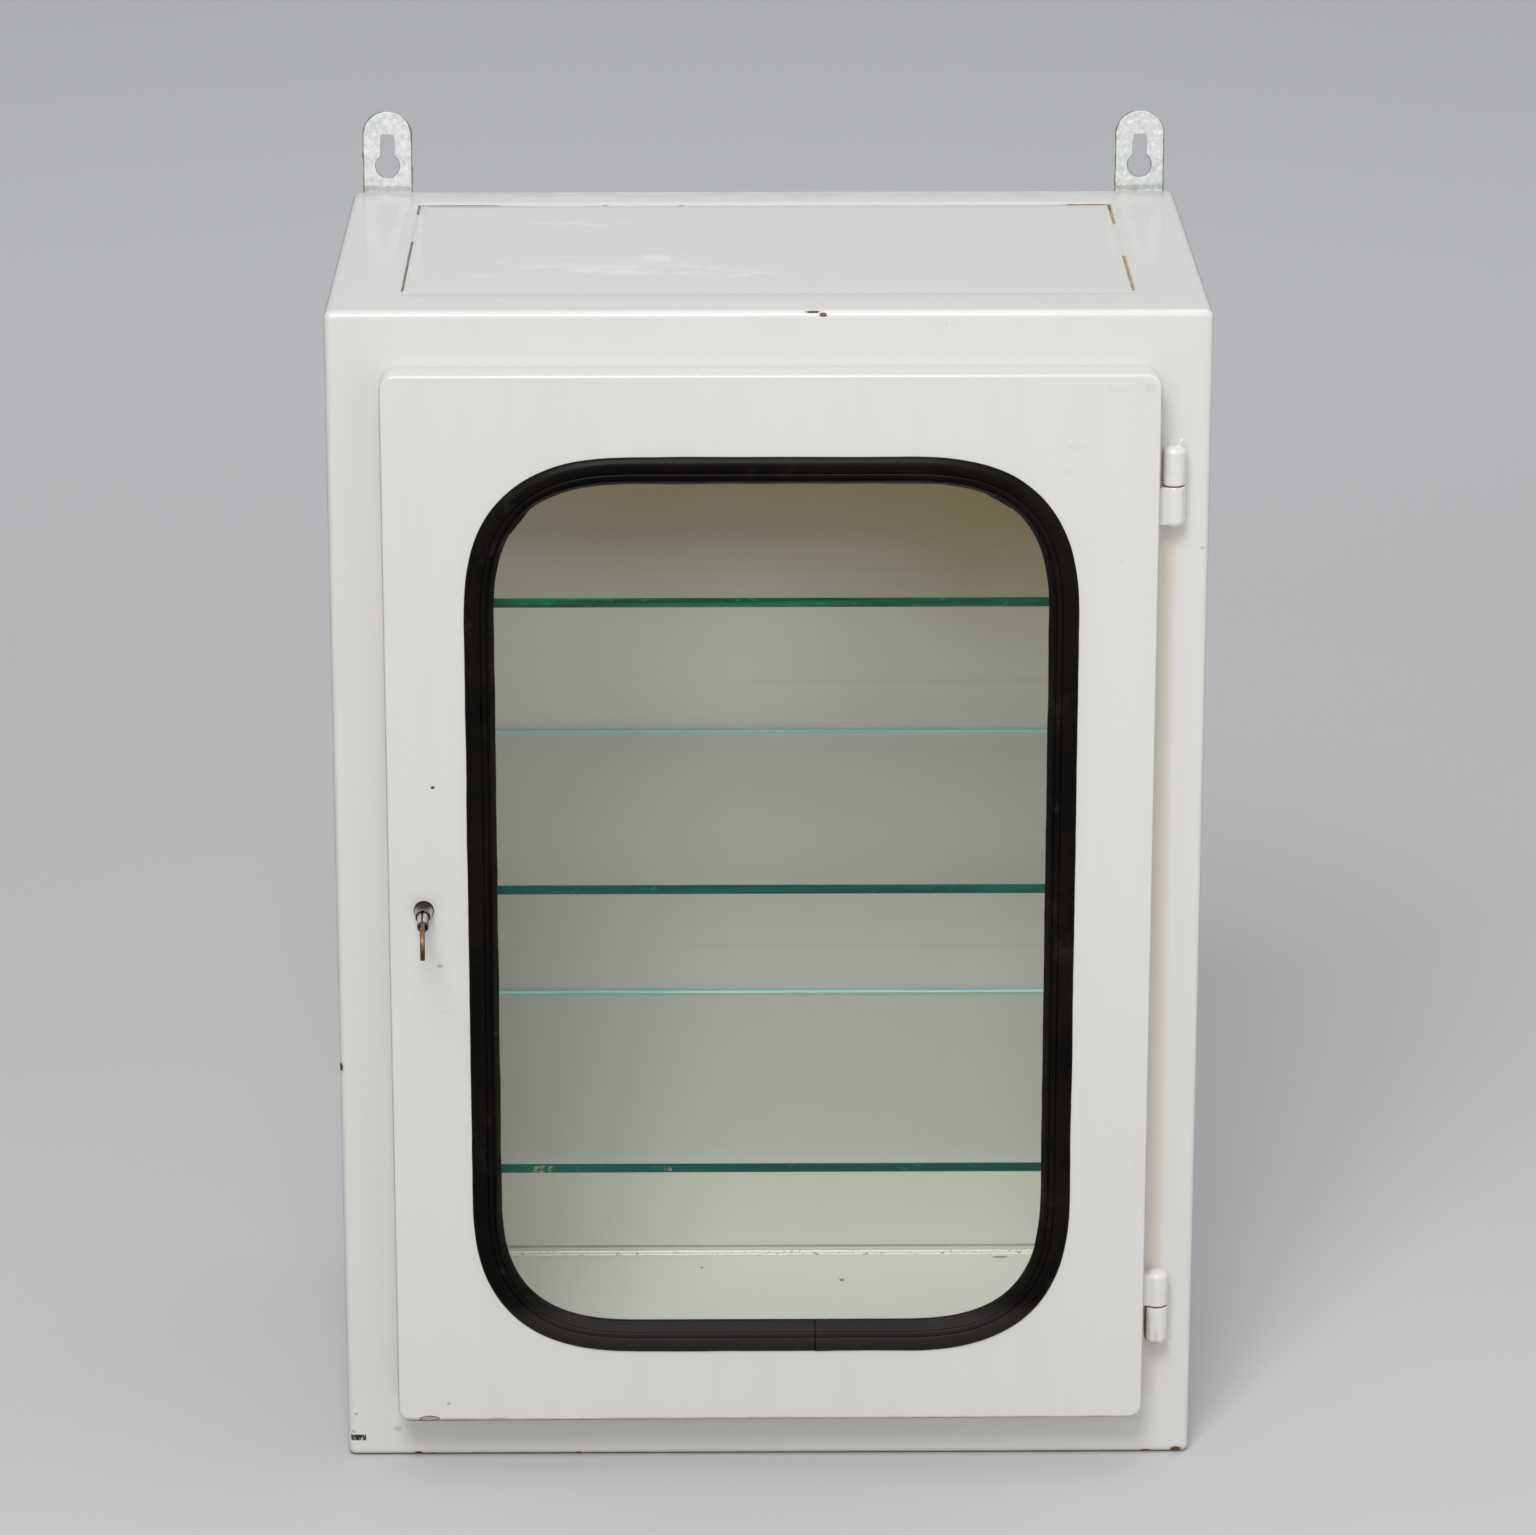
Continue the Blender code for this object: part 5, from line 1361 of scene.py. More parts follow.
def window_path(step):
    """Places along the window's edge from the seal's joint round to it again.

    Each is the point, the direction away from the window, and the distance run so far.
    """
    dense = [SEAL_CENTRE + Vector(p) for p in
             ring(*SEAL_HALF, SEAL_CORNER, even_stops(59), even_stops(99), 90, SEAL_POWER)]
    joint = Vector((SEAL_JOINT_X, SEAL_CENTRE.y - SEAL_HALF[1]))
    first = next(i for i, point in enumerate(dense) if point.x > joint.x)
    dense = [joint] + dense[first:] + dense[:first] + [joint]
    runs = [0.0]
    for a, b in zip(dense, dense[1:]):
        runs.append(runs[-1] + (b - a).length)
    total = runs[-1]
    count = round(total / step)
    samples = []
    index = 0
    for i in range(count + 1):
        target = SEAL_JOINT_GAP / 2 + (total - SEAL_JOINT_GAP) * i / count
        while runs[index + 1] < target:
            index += 1
        share = (target - runs[index]) / (runs[index + 1] - runs[index])
        samples.append((dense[index].lerp(dense[index + 1], share), target))
    normals = outward_normals([point for point, _ in samples])
    normals[0] = normals[-1] = Vector((0.0, -1.0))
    return [(point - normal * SEAL_LIP, normal, target)
            for (point, target), normal in zip(samples, normals)]


def smooth_step(value, low, high):
    """0 before low, 1 after high, smooth between."""
    share = min(1.0, max(0.0, (value - low) / (high - low)))
    return share * share * (3 - 2 * share)


def seal_shape(point, distance, length):
    """How the rubber wanders here, in millimetres: outer edge, crown height and inner lip."""
    wander = noise.noise(Vector((distance * 22, 0.0, 4.0)))
    fine = noise.noise(Vector((distance * 75, 2.0, 0.0)))
    outer = 0.30 * wander + 0.12 * fine
    crown = 0.18 * noise.noise(Vector((distance * 16, 9.0, 0.0)))
    lip = 0.35 * noise.noise(Vector((distance * 30, 5.0, 1.0))) + 0.15 * fine
    place = point - SEAL_CENTRE
    angle = math.degrees(math.atan2(place.y - (SEAL_HALF[1] - SEAL_CORNER),
                                    abs(place.x) - (SEAL_HALF[0] - SEAL_CORNER)))
    start, end = KINK_LEFT if place.x < 0 else KINK_RIGHT
    kink = smooth_step(angle, start, start + 3) * (1 - smooth_step(angle, end - 3, end))
    lip -= 0.9 * kink
    near = 1 - smooth_step(min(distance, length - distance), 0.0, 14 * MM)
    if distance < length / 2:
        return outer + 0.3 * near, crown + 0.35 * near, lip - 1.2 * near
    return outer, crown - 0.15 * near, lip - 0.5 * near


def seal_section(outer, crown, lip):
    """The black rubber: a bevelled outer edge, a groove for the filler and an inner lip."""
    glass_front = (DOOR_FACE - GLASS_LOW.y) / MM + 0.1
    glass_back = (DOOR_FACE - GLASS_HIGH.y) / MM - 0.1
    back = (DOOR_FACE - SEAL_HIGH.y) / MM
    top = 3.0 + crown
    tip = -9.4 + lip
    return [(7.4 + outer, 0.05), (7.5 + outer, 0.35), (7.2 + outer, 0.8),
            (6.3 + outer * 0.7, 1.5 + crown * 0.5), (5.0, 2.3 + crown), (4.2, 2.7 + crown),
            (3.4, 2.9 + crown), (2.4, top), (0.4, top), (-1.0, top - 0.15), (-1.5, top - 0.4),
            (-1.8, top - 0.9), (-1.8, -0.75), (-5.4, -0.75), (-5.4, 1.7), (-5.6, 2.0),
            (-6.0, 1.9), (-6.6, 1.0), (-7.6, -0.7), (tip + 0.5, -3.2), (tip + 0.1, -4.0),
            (tip, -4.6), (tip, glass_front), (-2.7, glass_front), (-2.7, glass_back),
            (-8.9, glass_back), (-8.9, glass_back - 1.1), (-8.0, back), (-1.4, back),
            (-0.3, back + 0.8), (0.9, -4.4), (5.6, -3.4), (6.0, -2.4), (5.6, -1.5),
            (-0.3, -1.5), (-0.3, 0.05)]


def filler_section(top):
    """The strip pressed into the seal's groove, a little proud and rounded."""
    return [(-1.95, -0.45), (-1.95, top - 0.55), (-2.15, top - 0.2), (-2.7, top - 0.03),
            (-3.6, top), (-4.4, top - 0.12), (-4.95, top - 0.4), (-5.25, top - 0.85),
            (-5.25, -0.45)]


def set_out(section, point, outward):
    """The points of a section, which is given in millimetres.

    Its pairs are how far out from the window's edge, and how far in front of the door.
    """
    return [Vector((point.x + outward.x * out * MM, DOOR_FACE - front * MM,
                    point.y + outward.y * out * MM)) for out, front in section]


def make_window():
    """The rubber with its strip, and the pane with ground arrises."""
    path = window_path(SEAL_STEP)
    length = path[-1][2]
    seal_rows, filler_rows = [], []
    for point, outward, distance in path:
        outer, crown, lip = seal_shape(point, distance, length)
        top = FILLER_TOP + crown + 0.12 * noise.noise(Vector((distance * 40, 1.0, 7.0)))
        seal_rows.append(set_out(seal_section(outer, crown, lip), point, outward))
        filler_rows.append(set_out(filler_section(top), point, outward))
    new_piece("rubber_seal", solid(seal_rows), "door", [SEAL_RUBBER],
              ["window_seal"], sharp=50)
    new_piece("filler_strip", solid(filler_rows), "door", [FILLER_RUBBER],
              ["seal_filler_strip"], sharp=50)
    arris = 0.4 * MM
    rows = []
    for inset, y in ((arris, GLASS_LOW.y), (0.0, GLASS_LOW.y + arris),
                     (0.0, GLASS_HIGH.y - arris), (arris, GLASS_HIGH.y)):
        rows.append([Vector((spot.x, y, spot.y)) for spot in
                     seal_ring(SEAL_LIP + GLASS_EDGE + inset, [0.0], [0.0], 20)])
    new_piece("window_pane", solid(rows), "door", [PANE_GLASS], ["door_glass"],
              sharp=10)


# Shelves

def make_shelves():
    """Loose sheets of glass: clear faces, green front and end edges, a back edge painted bright as
    painted light.
    """
    for node in SHELVES:
        shape = block(*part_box(node), 0.55 * MM)
        shape.normal_update()
        for face in shape.faces:
            if face.normal.y < -0.3 or abs(face.normal.x) > 0.3:
                face.material_index = 1
            elif face.normal.y > 0.3:
                face.material_index = 2
        new_piece(node + "_sheet", shape, node,
                  [SHELF_GLASS, SHELF_FRONT, SHELF_BACK_PAINTED_GLOW], [node], sharp=10)


# Turned parts, hinges, lock and key

def turned(profile, steps, place):
    """A body of revolution; its profile holds radius and height pairs, from one end round."""
    def spot(angle, radius, height):
        """A point of the body."""
        return place @ Vector((radius * math.cos(angle), radius * math.sin(angle), height))

    return rings(profile, steps, spot)


def outwards_from_door():
    """Turns a part's own Z into the way out of the door, at the lock."""
    return Matrix.Translation((LOCK_X, DOOR_FACE, LOCK_Z)) @ Matrix.Rotation(math.radians(90), 4,
                                                                             "X")


def make_knuckle(node, body, above, on_door):
    """A hinge barrel and its leaf, melted together by many coats of paint."""
    low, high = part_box(node)
    axis_x = high.x - BARREL_RADIUS - BARREL_SHIFT
    axis_y = low.y + BARREL_RADIUS
    direction = 1 if above else -1
    length = high.z - low.z
    if above:
        length -= DOOR_BARREL_GAP if on_door else FRAME_BARREL_GAP
    foot = low.z if above else high.z
    radius = BARREL_RADIUS + BARREL_PAINT
    shoulder = length - BARREL_DOME
    profile = [(0.0, 0.0), (radius - 0.5 * MM, 0.0), (radius, 0.5 * MM), (radius, shoulder)]
    for step in range(1, 9):
        angle = math.radians(90 * step / 8)
        profile.append((radius * max(0.0, math.cos(angle)) ** 0.75,
                        shoulder + BARREL_DOME * math.sin(angle)))
    shape = turned(profile, 40, Matrix.Translation((axis_x, axis_y, foot))
                   @ Matrix.Diagonal((1, 1, direction, 1)))
    short = DOOR_LEAF_SHORT if on_door else FRAME_LEAF_SHORT
    bottom, top = sorted((foot + direction * LEAF_START, foot + direction * (length - short)))
    if on_door:
        leaf = block(Vector((low.x, axis_y - LEAF_FRONT, bottom)),
                     Vector((axis_x, axis_y + HINGE_LEAF / 2, top)))
    else:
        leaf = block(Vector((axis_x - HINGE_LEAF / 2, axis_y, bottom)),
                     Vector((axis_x + HINGE_LEAF / 2, high.y, top)))
    absorb(shape, leaf)
    if node == "upper_frame_knuckle":
        foot_of_nib = Vector((axis_x + 2.2 * MM, axis_y - 0.5 * MM, high.z - 3.4 * MM))
        absorb(shape, paint_nib(foot_of_nib))
    name = "painted_" + node
    mesh = worked(to_mesh(name, shape),
                  ("REMESH", {"mode": "VOXEL", "voxel_size": PAINT_VOXEL}),
                  ("SMOOTH", {"factor": 0.5, "iterations": 5}))
    ripple_mesh(mesh, (0.20 * MM, 190.0, foot))
    new_piece(name, mesh, body, [HINGE_PAINT], [node], sharp=80)


def paint_nib(foot):
    """A dried thread of paint that stands on the barrel and leans to the right."""
    rows = []
    for step in range(9):
        share = step / 8
        centre = foot + Vector((NIB_LEAN * share ** 1.6, -0.6 * MM * share, NIB_RISE * share))
        radius = NIB_RADIUS - NIB_NARROWING * share
        radius *= math.sqrt(max(0.02, 1 - share ** 6))
        rows.append([centre + Vector((radius * math.cos(a), radius * math.sin(a), 0.0))
                     for a in angles(10)])
    return solid(rows)


def make_hinges():
    """The four knuckles and the two pins."""
    make_knuckle("upper_frame_knuckle", "cabinet", True, False)
    make_knuckle("upper_door_knuckle", "door", False, True)
    make_knuckle("lower_door_knuckle", "door", True, True)
    make_knuckle("lower_frame_knuckle", "cabinet", False, False)
    for node in ("upper_hinge_pin", "lower_hinge_pin"):
        low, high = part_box(node)
        radius, half = (high.x - low.x) / 2, (high.z - low.z) / 2
        straight = half - 1.5 * MM
        profile = [(0.0, -half), (radius - 0.7 * MM, -half), (radius - 0.1 * MM, -half + 0.8 * MM),
                   (radius, -straight)]
        profile += [(radius - 0.05 * MM * (i % 2), -straight + 2 * straight * i / 8)
                    for i in range(1, 8)]
        profile += [(radius, straight), (radius - 0.1 * MM, half - 0.8 * MM),
                    (radius - 0.7 * MM, half), (0.0, half)]
        new_piece("worn_" + node, turned(profile, 28, Matrix.Translation((low + high) / 2)),
                  "cabinet", [RUSTY], [node], sharp=50)


def make_lock_body():
    """The nose with its rolled rim, and the sleeve behind the sheet."""
    length = DOOR_FACE - NOSE_LOW.y
    back = DOOR_FACE - NOSE_HIGH.y
    base = (NOSE_HIGH.x - NOSE_LOW.x) / 2
    bore = KEY_RADIUS + 0.3 * MM
    front = bore + 0.8 * MM
    rim = length - 0.4 * MM
    shoulder = back + 2 * MM
    profile = [(bore, length - 0.5 * MM), (bore + 0.15 * MM, length - 0.1 * MM),
               (bore + 0.4 * MM, length), (front - 0.2 * MM, length - 0.05 * MM), (front, rim)]
    for step in range(1, 7):
        share = step / 6
        profile.append((front + (base - 0.45 * MM - front) * share ** 1.25,
                        rim + (NOSE_COLLAR - rim) * share))
    profile += [(base - 0.15 * MM, NOSE_COLLAR - 0.1 * MM), (base, NOSE_COLLAR - 0.5 * MM),
                (base, 0.5 * MM), (base - 0.3 * MM, 0.3 * MM), (SLEEVE_RADIUS, 0.3 * MM),
                (SLEEVE_RADIUS, back + 0.4 * MM), (SLEEVE_RADIUS - 0.4 * MM, back),
                (SLEEVE_NECK, back), (SLEEVE_NECK, shoulder), (bore, shoulder),
                (bore, length - 0.5 * MM)]
    new_piece("lock_barrel", turned(profile, 64, outwards_from_door()), "door",
              [LOCK_STEEL], ["lock_nose"], sharp=40)


def make_lock_nut():
    """The hexagon nut on the sleeve, behind the door's sheet."""
    low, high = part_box("lock_nut")
    flat = (high.x - low.x) / 2
    thick = high.y - low.y
    corner = flat / math.cos(math.radians(30))
    chamfer = 0.5 * MM
    rounding = 0.55 * MM
    bore = SLEEVE_RADIUS + 0.3 * MM

    def spot(angle, inset, height):
        """A point of the nut, on its bore where no inset is given."""
        within = (angle + math.radians(30)) % math.radians(60) - math.radians(30)
        radius = bore if inset is None else flat / math.cos(within)
        if inset:
            radius = min(radius, corner - inset)
        return Vector((radius * math.sin(angle), high.y - height,
                       radius * math.cos(angle))) + Vector((LOCK_X, 0, LOCK_Z))

    stations = ((None, 0.0), (rounding, 0.0), (0.0, chamfer), (0.0, thick - chamfer),
                (rounding, thick), (None, thick), (None, 0.0))
    new_piece("hexagon_nut", rings(stations, 48, spot), "door", [LOCK_STEEL],
              ["lock_nut"], sharp=25)


def make_cam():
    """The cam that grips behind the front frame, stamped from plate with a square hole."""
    low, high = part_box("lock_cam")
    half = (high.x - low.x) / 2
    thick = high.y - low.y
    foot, crown = low.z - LOCK_Z, high.z - LOCK_Z
    corner = 3 * MM
    outline = arc(0.0, crown - half, half, 0, 8) + arc(0.0, crown - half, half, 90, 8)
    outline += arc(-half + corner, foot + corner, corner, 180, 4)
    outline += arc(half - corner, foot + corner, corner, 270, 4)
    square = [(CAM_HOLE, -CAM_HOLE), (CAM_HOLE, CAM_HOLE), (-CAM_HOLE, CAM_HOLE),
              (-CAM_HOLE, -CAM_HOLE)]
    ease = 0.3 * MM

    def spot(angle, line, shift, y):
        """A point near an outline, in its direction from the middle."""
        size = reach(line, Vector((0, 0)), angle) + shift
        return Vector((LOCK_X + size * math.cos(angle), low.y + y,
                       LOCK_Z + size * math.sin(angle)))

    stations = ((square, ease, 0.0), (square, 0.0, ease), (square, 0.0, thick - ease),
                (square, ease, thick), (outline, -ease, thick), (outline, 0.0, thick - ease),
                (outline, 0.0, ease), (outline, -ease, 0.0), (square, ease, 0.0))
    new_piece("stamped_cam", rings(stations, 96, spot), "lock", [LOCK_STEEL],
              ["lock_cam"], sharp=30)


def make_cam_screw():
    """The slotted screw that holds the cam on the spindle."""
    low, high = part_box("cam_screw")
    head = (high.x - low.x) / 2
    profile = [(0.0, SCREW_HEAD), (head * 0.55, SCREW_HEAD), (head * 0.85, SCREW_HEAD * 0.75),
               (head, SCREW_HEAD * 0.3), (head, 0.0), (0.9 * MM, 0.0)]
    for turn in range(9):
        profile += [(1.0 * MM, -0.4 * MM - SCREW_PITCH * turn),
                    (0.75 * MM, -0.7 * MM - SCREW_PITCH * turn)]
    tip = SCREW_HEAD - (high.y - low.y)
    profile += [(0.5 * MM, tip), (0.0, tip)]
    place = (Matrix.Translation((LOCK_X, high.y - SCREW_HEAD, LOCK_Z))
             @ Matrix.Rotation(math.radians(-90), 4, "X"))
    mesh = to_mesh("screw", turned(profile, 32, place))
    middle = Vector((LOCK_X, high.y, LOCK_Z))
    half_slot = Vector((1.5 * head, 0.8 * MM, 0.5 * MM))
    mesh = combined(mesh, "DIFFERENCE", block(middle - half_slot, middle + half_slot))
    mesh.name = "slotted_screw"
    new_piece("slotted_screw", mesh, "lock", [LOCK_STEEL], ["cam_screw"], sharp=40)


def bend_key(mesh):
    """Bend what stands out of the lock a little to the right, as keys get bent in use."""
    for vert in mesh.vertices:
        out = NOSE_LOW.y - vert.co.y
        if out > 0:
            vert.co.x += out * math.tan(KEY_BEND)


def make_key_tube(start, end):
    """The key's rolled steel tube with its seam on top, between two distances from the door."""
    bore = KEY_RADIUS - KEY_WALL
    stations = [(bore, start), (KEY_RADIUS - 0.2 * MM, start), (KEY_RADIUS, start + 0.3 * MM)]
    stations += [(KEY_RADIUS, start + (end - start) * i / 10) for i in range(1, 10)]
    stations += [(KEY_RADIUS, end - 0.5 * MM), (KEY_RADIUS - 0.15 * MM, end - 0.15 * MM),
                 (KEY_RADIUS - 0.5 * MM, end), (bore, end), (bore, start)]
    place = outwards_from_door()

    def spot(angle, radius, height):
        """A point of the tube, which is notched at its seam and has four flats."""
        size = radius
        if radius > bore:
            off_seam = abs((angle - KEY_SEAM + math.pi) % (2 * math.pi) - math.pi)
            size -= SEAM_NOTCH * max(0.0, 1 - off_seam / SEAM_SPAN)
            size -= max(0.0, TUBE_FLAT * math.cos(4 * (angle - KEY_SEAM)))
        return place @ Vector((size * math.cos(angle), size * math.sin(angle), height))

    mesh = to_mesh("rolled_tube", rings(stations, 72, spot))
    bend_key(mesh)
    new_piece("rolled_tube", mesh, "key", [KEY_STEEL], ["key_tube"], sharp=40)


def make_key_bow(tube_end):
    """The key's flat brass bow: a ring, a neck and the tang in the tube."""
    low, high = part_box("key_bow")
    left, right = LOCK_X - BOW_THICKNESS / 2, LOCK_X + BOW_THICKNESS / 2
    centre_y = DOOR_FACE - BOW_CENTRE
    half_y, half_z = BOW_LENGTH / 2, (high.z - low.z) / 2
    hole_y, hole_z = BOW_HOLE[0] / 2, BOW_HOLE[1] / 2
    ease = 0.4 * MM

    def spot(angle, share, shift, x):
        """A point between the hole and the rim of the bow."""
        size_y = hole_y + (half_y - hole_y) * share + shift
        size_z = hole_z + (half_z - hole_z) * share + shift
        return Vector((x, centre_y + size_y * math.cos(angle), LOCK_Z + size_z * math.sin(angle)))

    stations = ((0, ease, left), (0, 0, left + ease), (0, 0, right - ease), (0, ease, right),
                (0.5, 0, right), (1, -ease, right), (1, -ease * 0.3, right - ease * 0.3),
                (1, 0, right - ease), (1, 0, left + ease), (1, -ease * 0.3, left + ease * 0.3),
                (1, -ease, left), (0.5, 0, left), (0, ease, left))
    mesh = to_mesh("flat_bow", rings(stations, 72, spot))
    neck = block(Vector((left + 0.1 * MM, centre_y + 9.6 * MM, LOCK_Z - 2.4 * MM)),
                 Vector((right - 0.1 * MM, tube_end - 0.15 * MM, LOCK_Z + 2.4 * MM)), 0.35 * MM)
    tang = block(Vector((left + 0.15 * MM, tube_end - 0.5 * MM, LOCK_Z - 1.35 * MM)),
                 Vector((right - 0.15 * MM, tube_end + 5.5 * MM, LOCK_Z + 1.35 * MM)))
    for extra in (neck, tang):
        mesh = combined(mesh, "UNION", extra)
    mesh.name = "flat_bow"
    bend_key(mesh)
    new_piece("flat_bow", mesh, "key", [BOW_BRASS], ["key_bow"], sharp=30)


def make_key():
    """The key: a rolled steel tube and a flat brass bow."""
    low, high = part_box("key_tube")
    end = DOOR_FACE - low.y + KEY_LENGTHENED
    make_key_tube(DOOR_FACE - high.y, end)
    make_key_bow(DOOR_FACE - end)


# Crumbs, nicks and threads

def growing_group(name, inputs):
    """An empty group of geometry nodes, which is given a mesh, some values and a finish."""
    return new_group(name, {"Geometry": ("Geometry", None), **inputs,
                            "Finish": ("Material", None)},
                     {"Geometry": "Geometry"}, "GeometryNodeTree")


def give_finish(tree, geometry, given, result):
    """Turn what was grown into plain geometry with its finish, as the group's result."""
    real = add(tree, "GeometryNodeRealizeInstances", {"Geometry": geometry}).outputs[0]
    finished = add(tree, "GeometryNodeSetMaterial", {"Geometry": real,
                                                     "Material": given["Finish"]}).outputs[0]
    join(tree, finished, result["Geometry"])
    return tree


def flake_tree():
    """Geometry nodes that strew small flakes along the edges of a line."""
    tree, given, result = growing_group(
        "flakes_along_line",
        {"Count": ("Int", 60), "Size": ("Float", MM), "Spread": ("Vector", (MM, MM, MM)),
         "Squash": ("Vector", (1.0, 1.0, 0.5)), "Seed": ("Int", 1)})

    def scaled(vector, factor):
        """A vector times a factor."""
        return add(tree, "ShaderNodeVectorMath", {0: vector, "Scale": factor},
                   operation="SCALE").outputs[0]

    def chance(low, high, kind="FLOAT_VECTOR"):
        """A random value or vector between two limits."""
        keys = (2, 3) if kind == "FLOAT" else ("Min", "Max")
        outputs = add(tree, "FunctionNodeRandomValue",
                      {keys[0]: low, keys[1]: high, "Seed": given["Seed"]},
                      data_type=kind).outputs
        return Term(tree, outputs[1 if kind == "FLOAT" else 0])

    curve = add(tree, "GeometryNodeMeshToCurve", {"Mesh": given["Geometry"]}).outputs[0]
    points = add(tree, "GeometryNodeCurveToPoints", {"Curve": curve, "Count": given["Count"]},
                 mode="COUNT").outputs["Points"]
    strewn = chance(scaled(given["Spread"], -1.0), given["Spread"])
    moved = add(tree, "GeometryNodeSetPosition", {"Geometry": points, "Offset": strewn}).outputs[0]
    ball = add(tree, "GeometryNodeMeshIcoSphere", {"Radius": 1.0, "Subdivisions": 1}).outputs[0]
    size = given["Size"] * chance(0.25, 1.0, "FLOAT")
    turn = chance((-0.5, -0.5, -3.14), (0.5, 0.5, 3.14))
    copies = add(tree, "GeometryNodeInstanceOnPoints",
                 {"Points": moved, "Instance": ball, "Rotation": turn,
                  "Scale": scaled(given["Squash"], size)}).outputs[0]
    return give_finish(tree, copies, given, result)


def thread_tree():
    """Geometry nodes that wind a screw thread up a core."""
    tree, given, result = growing_group(
        "screw_thread",
        {"Radius": ("Float", 5 * MM), "Length": ("Float", 4 * MM), "Turns": ("Float", 5.0),
         "Ridge": ("Float", 0.3 * MM)})
    helix = add(tree, "GeometryNodeCurveSpiral",
                {"Resolution": 36, "Rotations": given["Turns"], "Start Radius": given["Radius"],
                 "End Radius": given["Radius"], "Height": given["Length"]}).outputs[0]
    ridge = add(tree, "GeometryNodeCurvePrimitiveCircle",
                {"Resolution": 6, "Radius": given["Ridge"]}).outputs[0]
    wound = add(tree, "GeometryNodeCurveToMesh",
                {"Curve": helix, "Profile Curve": ridge, "Fill Caps": True}).outputs[0]
    return give_finish(tree, wound, given, result)


FLAKES = flake_tree()
THREAD = thread_tree()


def grown(name, tree, values, line=()):
    """The mesh that a node tree makes from a line and its inputs."""
    mesh = bpy.data.meshes.new(name + "_line")
    mesh.from_pydata([tuple(p) for p in line], [(i, i + 1) for i in range(len(line) - 1)], [])
    item = link_object(name + "_work", mesh)
    modifier = item.modifiers.new("grow", "NODES")
    modifier.node_group = tree
    for socket in tree.interface.items_tree:
        if socket.item_type == "SOCKET" and socket.in_out == "INPUT" and socket.name in values:
            modifier[socket.identifier] = values[socket.name]
    return evaluated(item, name)


def make_crumbs():
    """Lumps of paint and rust in the seams of the top."""
    left, right, front, back = -TOP_SIDE_SEAM, TOP_SIDE_SEAM, TOP_FRONT_SEAM, TOP_BACK_SEAM
    top = HEIGHT - 0.15 * MM
    seams = [
        ("left_seam_paint", (left, front, top), (left, back, top), 46, 0.9, CARCASS_PAINT),
        ("right_seam_paint", (right, front, top), (right, back, top), 90, 1.0, CARCASS_PAINT),
        ("back_seam_paint", (-150 * MM, back, top), (right - 30 * MM, back, top), 330, 0.95,
         CARCASS_PAINT),
        ("seam_rust", (right - 34 * MM, back, top), (right, back, top), 70, 0.6, RUSTY),
        ("left_seam_rust", (left, front, top - 0.4 * MM), (left, front + 150 * MM, top), 60, 0.5,
         RUSTY),
    ]
    for number, (name, start, end, count, size, finish) in enumerate(seams):
        mesh = grown(name, FLAKES, {"Count": count, "Size": size * MM,
                                    "Spread": mm(0.5, 0.5, 0.05), "Squash": (1.0, 1.0, 0.32),
                                    "Seed": 3 + number, "Finish": finish}, [start, end])
        new_piece(name, mesh, "cabinet", [finish], sharp=70)


def make_shelf_nicks():
    """Small shells broken out of the edges of the shelves, in the back edge's finish, painted
    bright as painted glints.
    """
    for number, node in enumerate(SHELVES):
        low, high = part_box(node)
        line = [(x, high.y - 0.25 * MM, high.z - 0.3 * MM)
                for x in (low.x + 60 * MM, high.x - 60 * MM)]
        mesh = grown(node + "_nicks", FLAKES,
                     {"Count": 150, "Size": 0.8 * MM, "Spread": mm(3, 0.1, 0.2),
                      "Squash": (1.5, 0.35, 0.4), "Seed": 20 + number, "Finish": SHELF_BACK_PAINTED_GLOW}, line)
        new_piece(node + "_nicks", mesh, node, [SHELF_BACK_PAINTED_GLOW], sharp=20)


def make_threads():
    """The threads of the lock's sleeve."""
    back = DOOR_FACE - NOSE_HIGH.y
    mesh = grown("sleeve_thread", THREAD,
                 {"Radius": THREAD_RADIUS, "Length": THREAD_LENGTH, "Turns": 7.0,
                  "Ridge": THREAD_RIDGE, "Finish": LOCK_STEEL})
    mesh.transform(outwards_from_door() @ Matrix.Translation((0, 0, back + THREAD_START)))
    new_piece("sleeve_thread", mesh, "door", [LOCK_STEEL], sharp=80)


def finish_kept_nodes():
    """Give the nodes that stay their finish."""
    for node in ("lock_spindle", "retaining_clip"):
        NODES[node].data.materials.clear()
        NODES[node].data.materials.append(LOCK_STEEL)


# Floor, light and camera

def make_floor():
    """A plain pale floor that takes the object's shadow, and is darker in mirror images."""
    skin = Surface("floor_finish", None, FLOOR_COLOUR, 0.65)
    skin.mottle((2.2,), (0.35, 0.7), (0.63, 0.63, 0.63), None, 0.15)
    skin.lay(skin.y.spread(0.5, 3.2), FLOOR_FAR)
    rays = add(skin.tree, "ShaderNodeLightPath").outputs
    reflections = math_node(skin.tree, "MINIMUM", rays["Glossy Depth"], 1.0)
    skin.lay(reflections * rays["Is Glossy Ray"], FLOOR_MIRRORED)
    shape = bmesh.new()
    bmesh.ops.create_grid(shape, x_segments=2, y_segments=2, size=FLOOR_REACH)
    bmesh.ops.translate(shape, vec=(0, 0, -FLOOR_DROP), verts=shape.verts)
    mesh = to_mesh("floor", shape)
    mesh.materials.append(skin.done())
    link_object("floor", mesh)


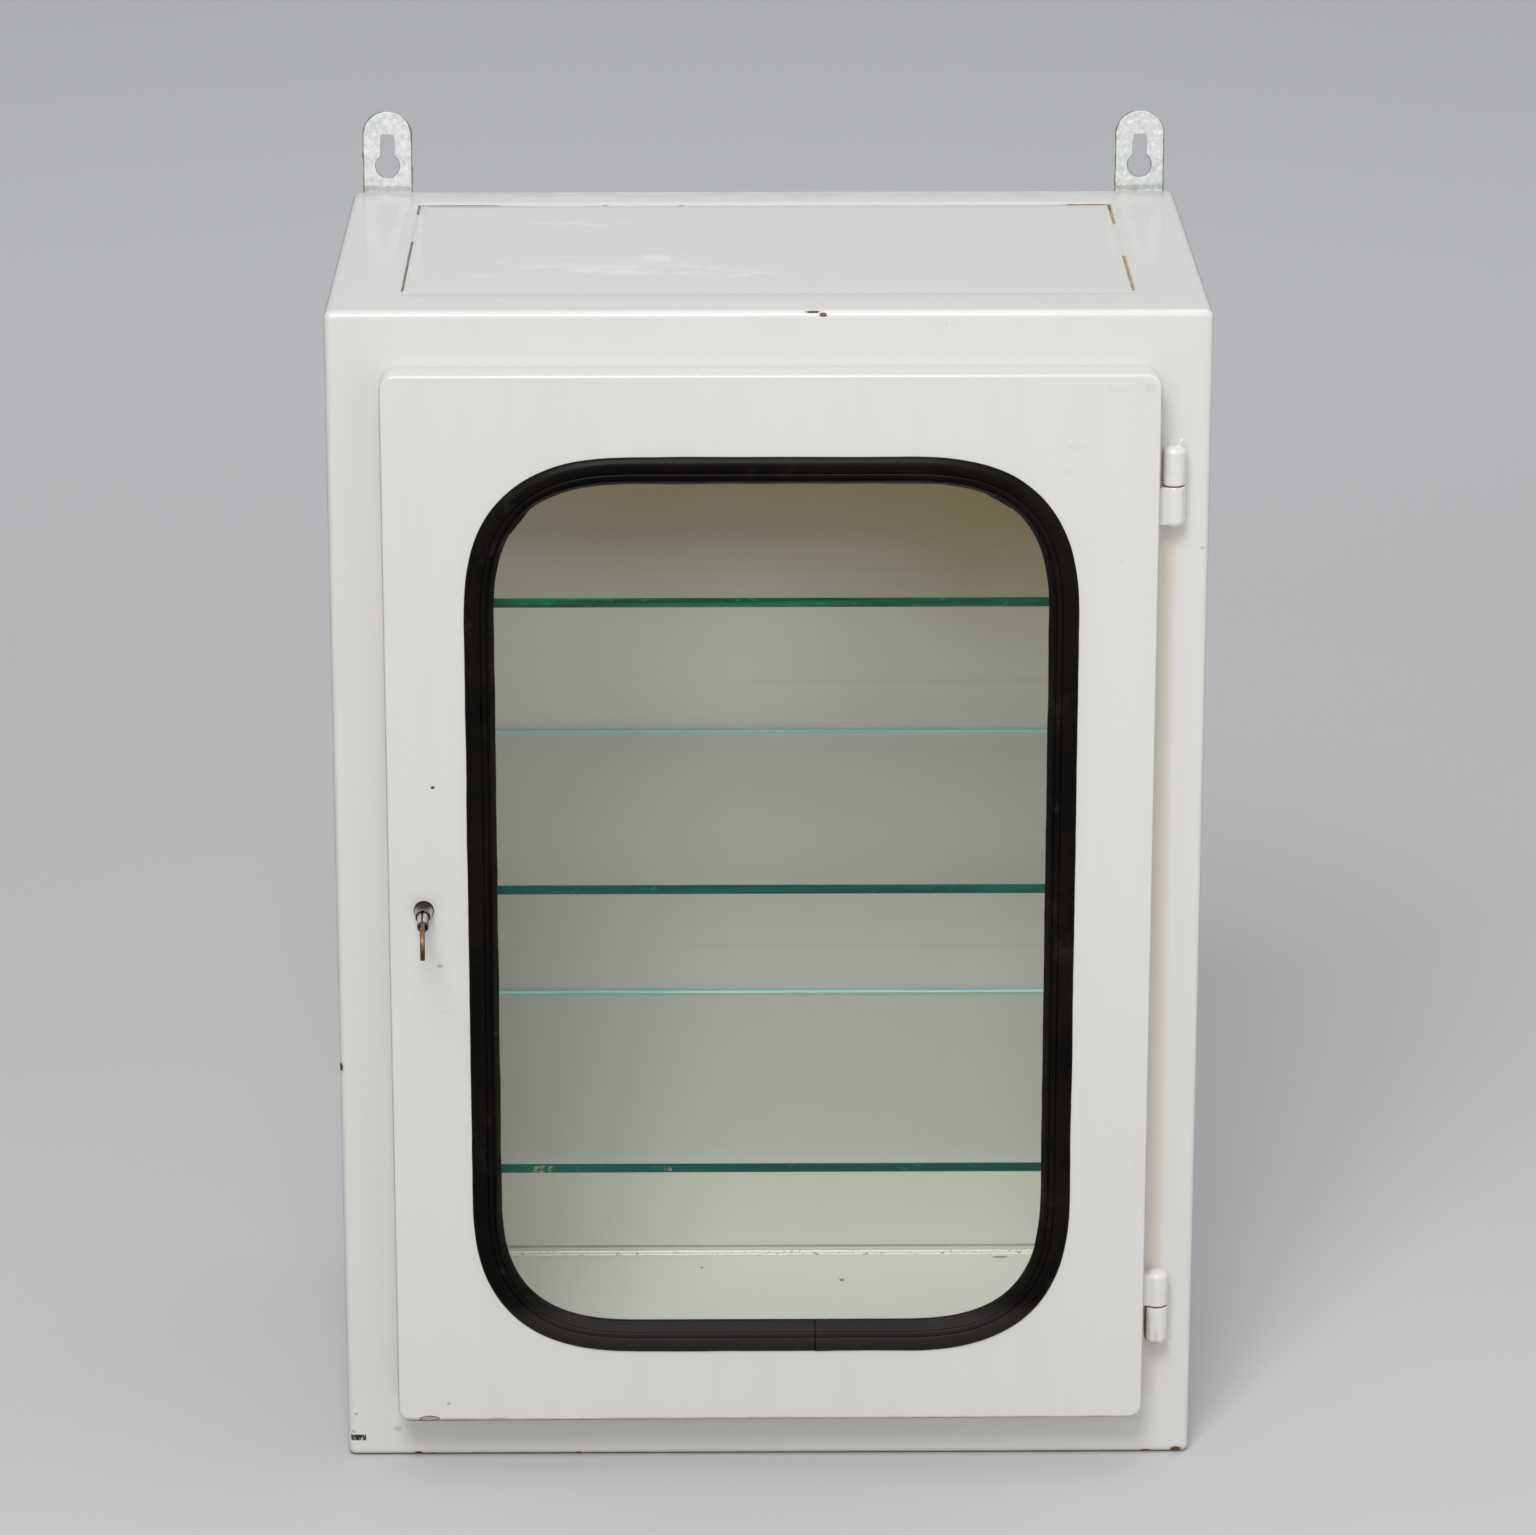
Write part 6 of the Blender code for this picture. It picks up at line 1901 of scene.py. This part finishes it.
def make_lamp(name, place, target, size, power, colour, shadow):
    """A round area lamp aimed at a point. One without shadow has no mirror image either."""
    lamp = bpy.data.lights.new(name, "AREA")
    lamp.shape = "DISK"
    lamp.use_shadow = shadow
    lamp.size = size
    lamp.energy = power
    lamp.color = colour
    item = link_object(name, lamp)
    item.location = place
    item.rotation_euler = (Vector(target) - Vector(place)).to_track_quat("-Z", "Y").to_euler()
    item.visible_camera = False
    item.visible_glossy = shadow


def make_surround():
    """A pale surround, which is brighter to the eye and in mirror images than as a light."""
    world = bpy.data.worlds.new("surround")
    bpy.context.scene.world = world
    world.use_nodes = True
    tree = world.node_tree
    tree.nodes.clear()
    rays = add(tree, "ShaderNodeLightPath").outputs
    through = math_node(tree, "MAXIMUM", rays["Is Glossy Ray"], rays["Is Transmission Ray"])
    colour = mixed(tree, through.most(rays["Is Camera Ray"]), rgb(SURROUND_LIGHT),
                   rgb(SURROUND_SEEN))
    back = add(tree, "ShaderNodeBackground", {"Color": colour, "Strength": 1.0})
    out = tree.nodes.new("ShaderNodeOutputWorld")
    join(tree, back.outputs[0], out.inputs[0])


def make_camera():
    """The photograph's viewpoint."""
    camera = bpy.data.cameras.new("camera")
    camera.sensor_width = 36.0
    camera.lens = CAMERA_LENS
    item = link_object("camera", camera)
    item.location = CAMERA_PLACE
    item.rotation_euler = Euler([math.radians(turn) for turn in CAMERA_TURN])
    bpy.context.scene.camera = item


def build():
    """Make every piece, the studio and the camera."""
    make_carcass()
    make_top_panel()
    make_seam_filler()
    make_back_panel()
    make_floor_bead()
    make_rails()
    make_lug("left_hanging_lug", 1.0)
    make_lug("right_hanging_lug", 7.0)
    make_door()
    make_window()
    make_shelves()
    make_hinges()
    make_lock_body()
    make_lock_nut()
    make_cam()
    make_cam_screw()
    make_key()
    make_crumbs()
    make_shelf_nicks()
    make_threads()
    finish_kept_nodes()
    make_floor()
    make_surround()
    for lamp in LAMPS:
        make_lamp(*lamp)
    make_camera()
    scene = bpy.context.scene
    scene.view_settings.view_transform = "Standard"
    scene.cycles.use_denoising = True
    scene.cycles.caustics_reflective = False
    scene.cycles.max_bounces = 12
    scene.cycles.diffuse_bounces = 4
    scene.cycles.glossy_bounces = 4
    scene.cycles.transmission_bounces = 12
    scene.cycles.transparent_max_bounces = 16


build()
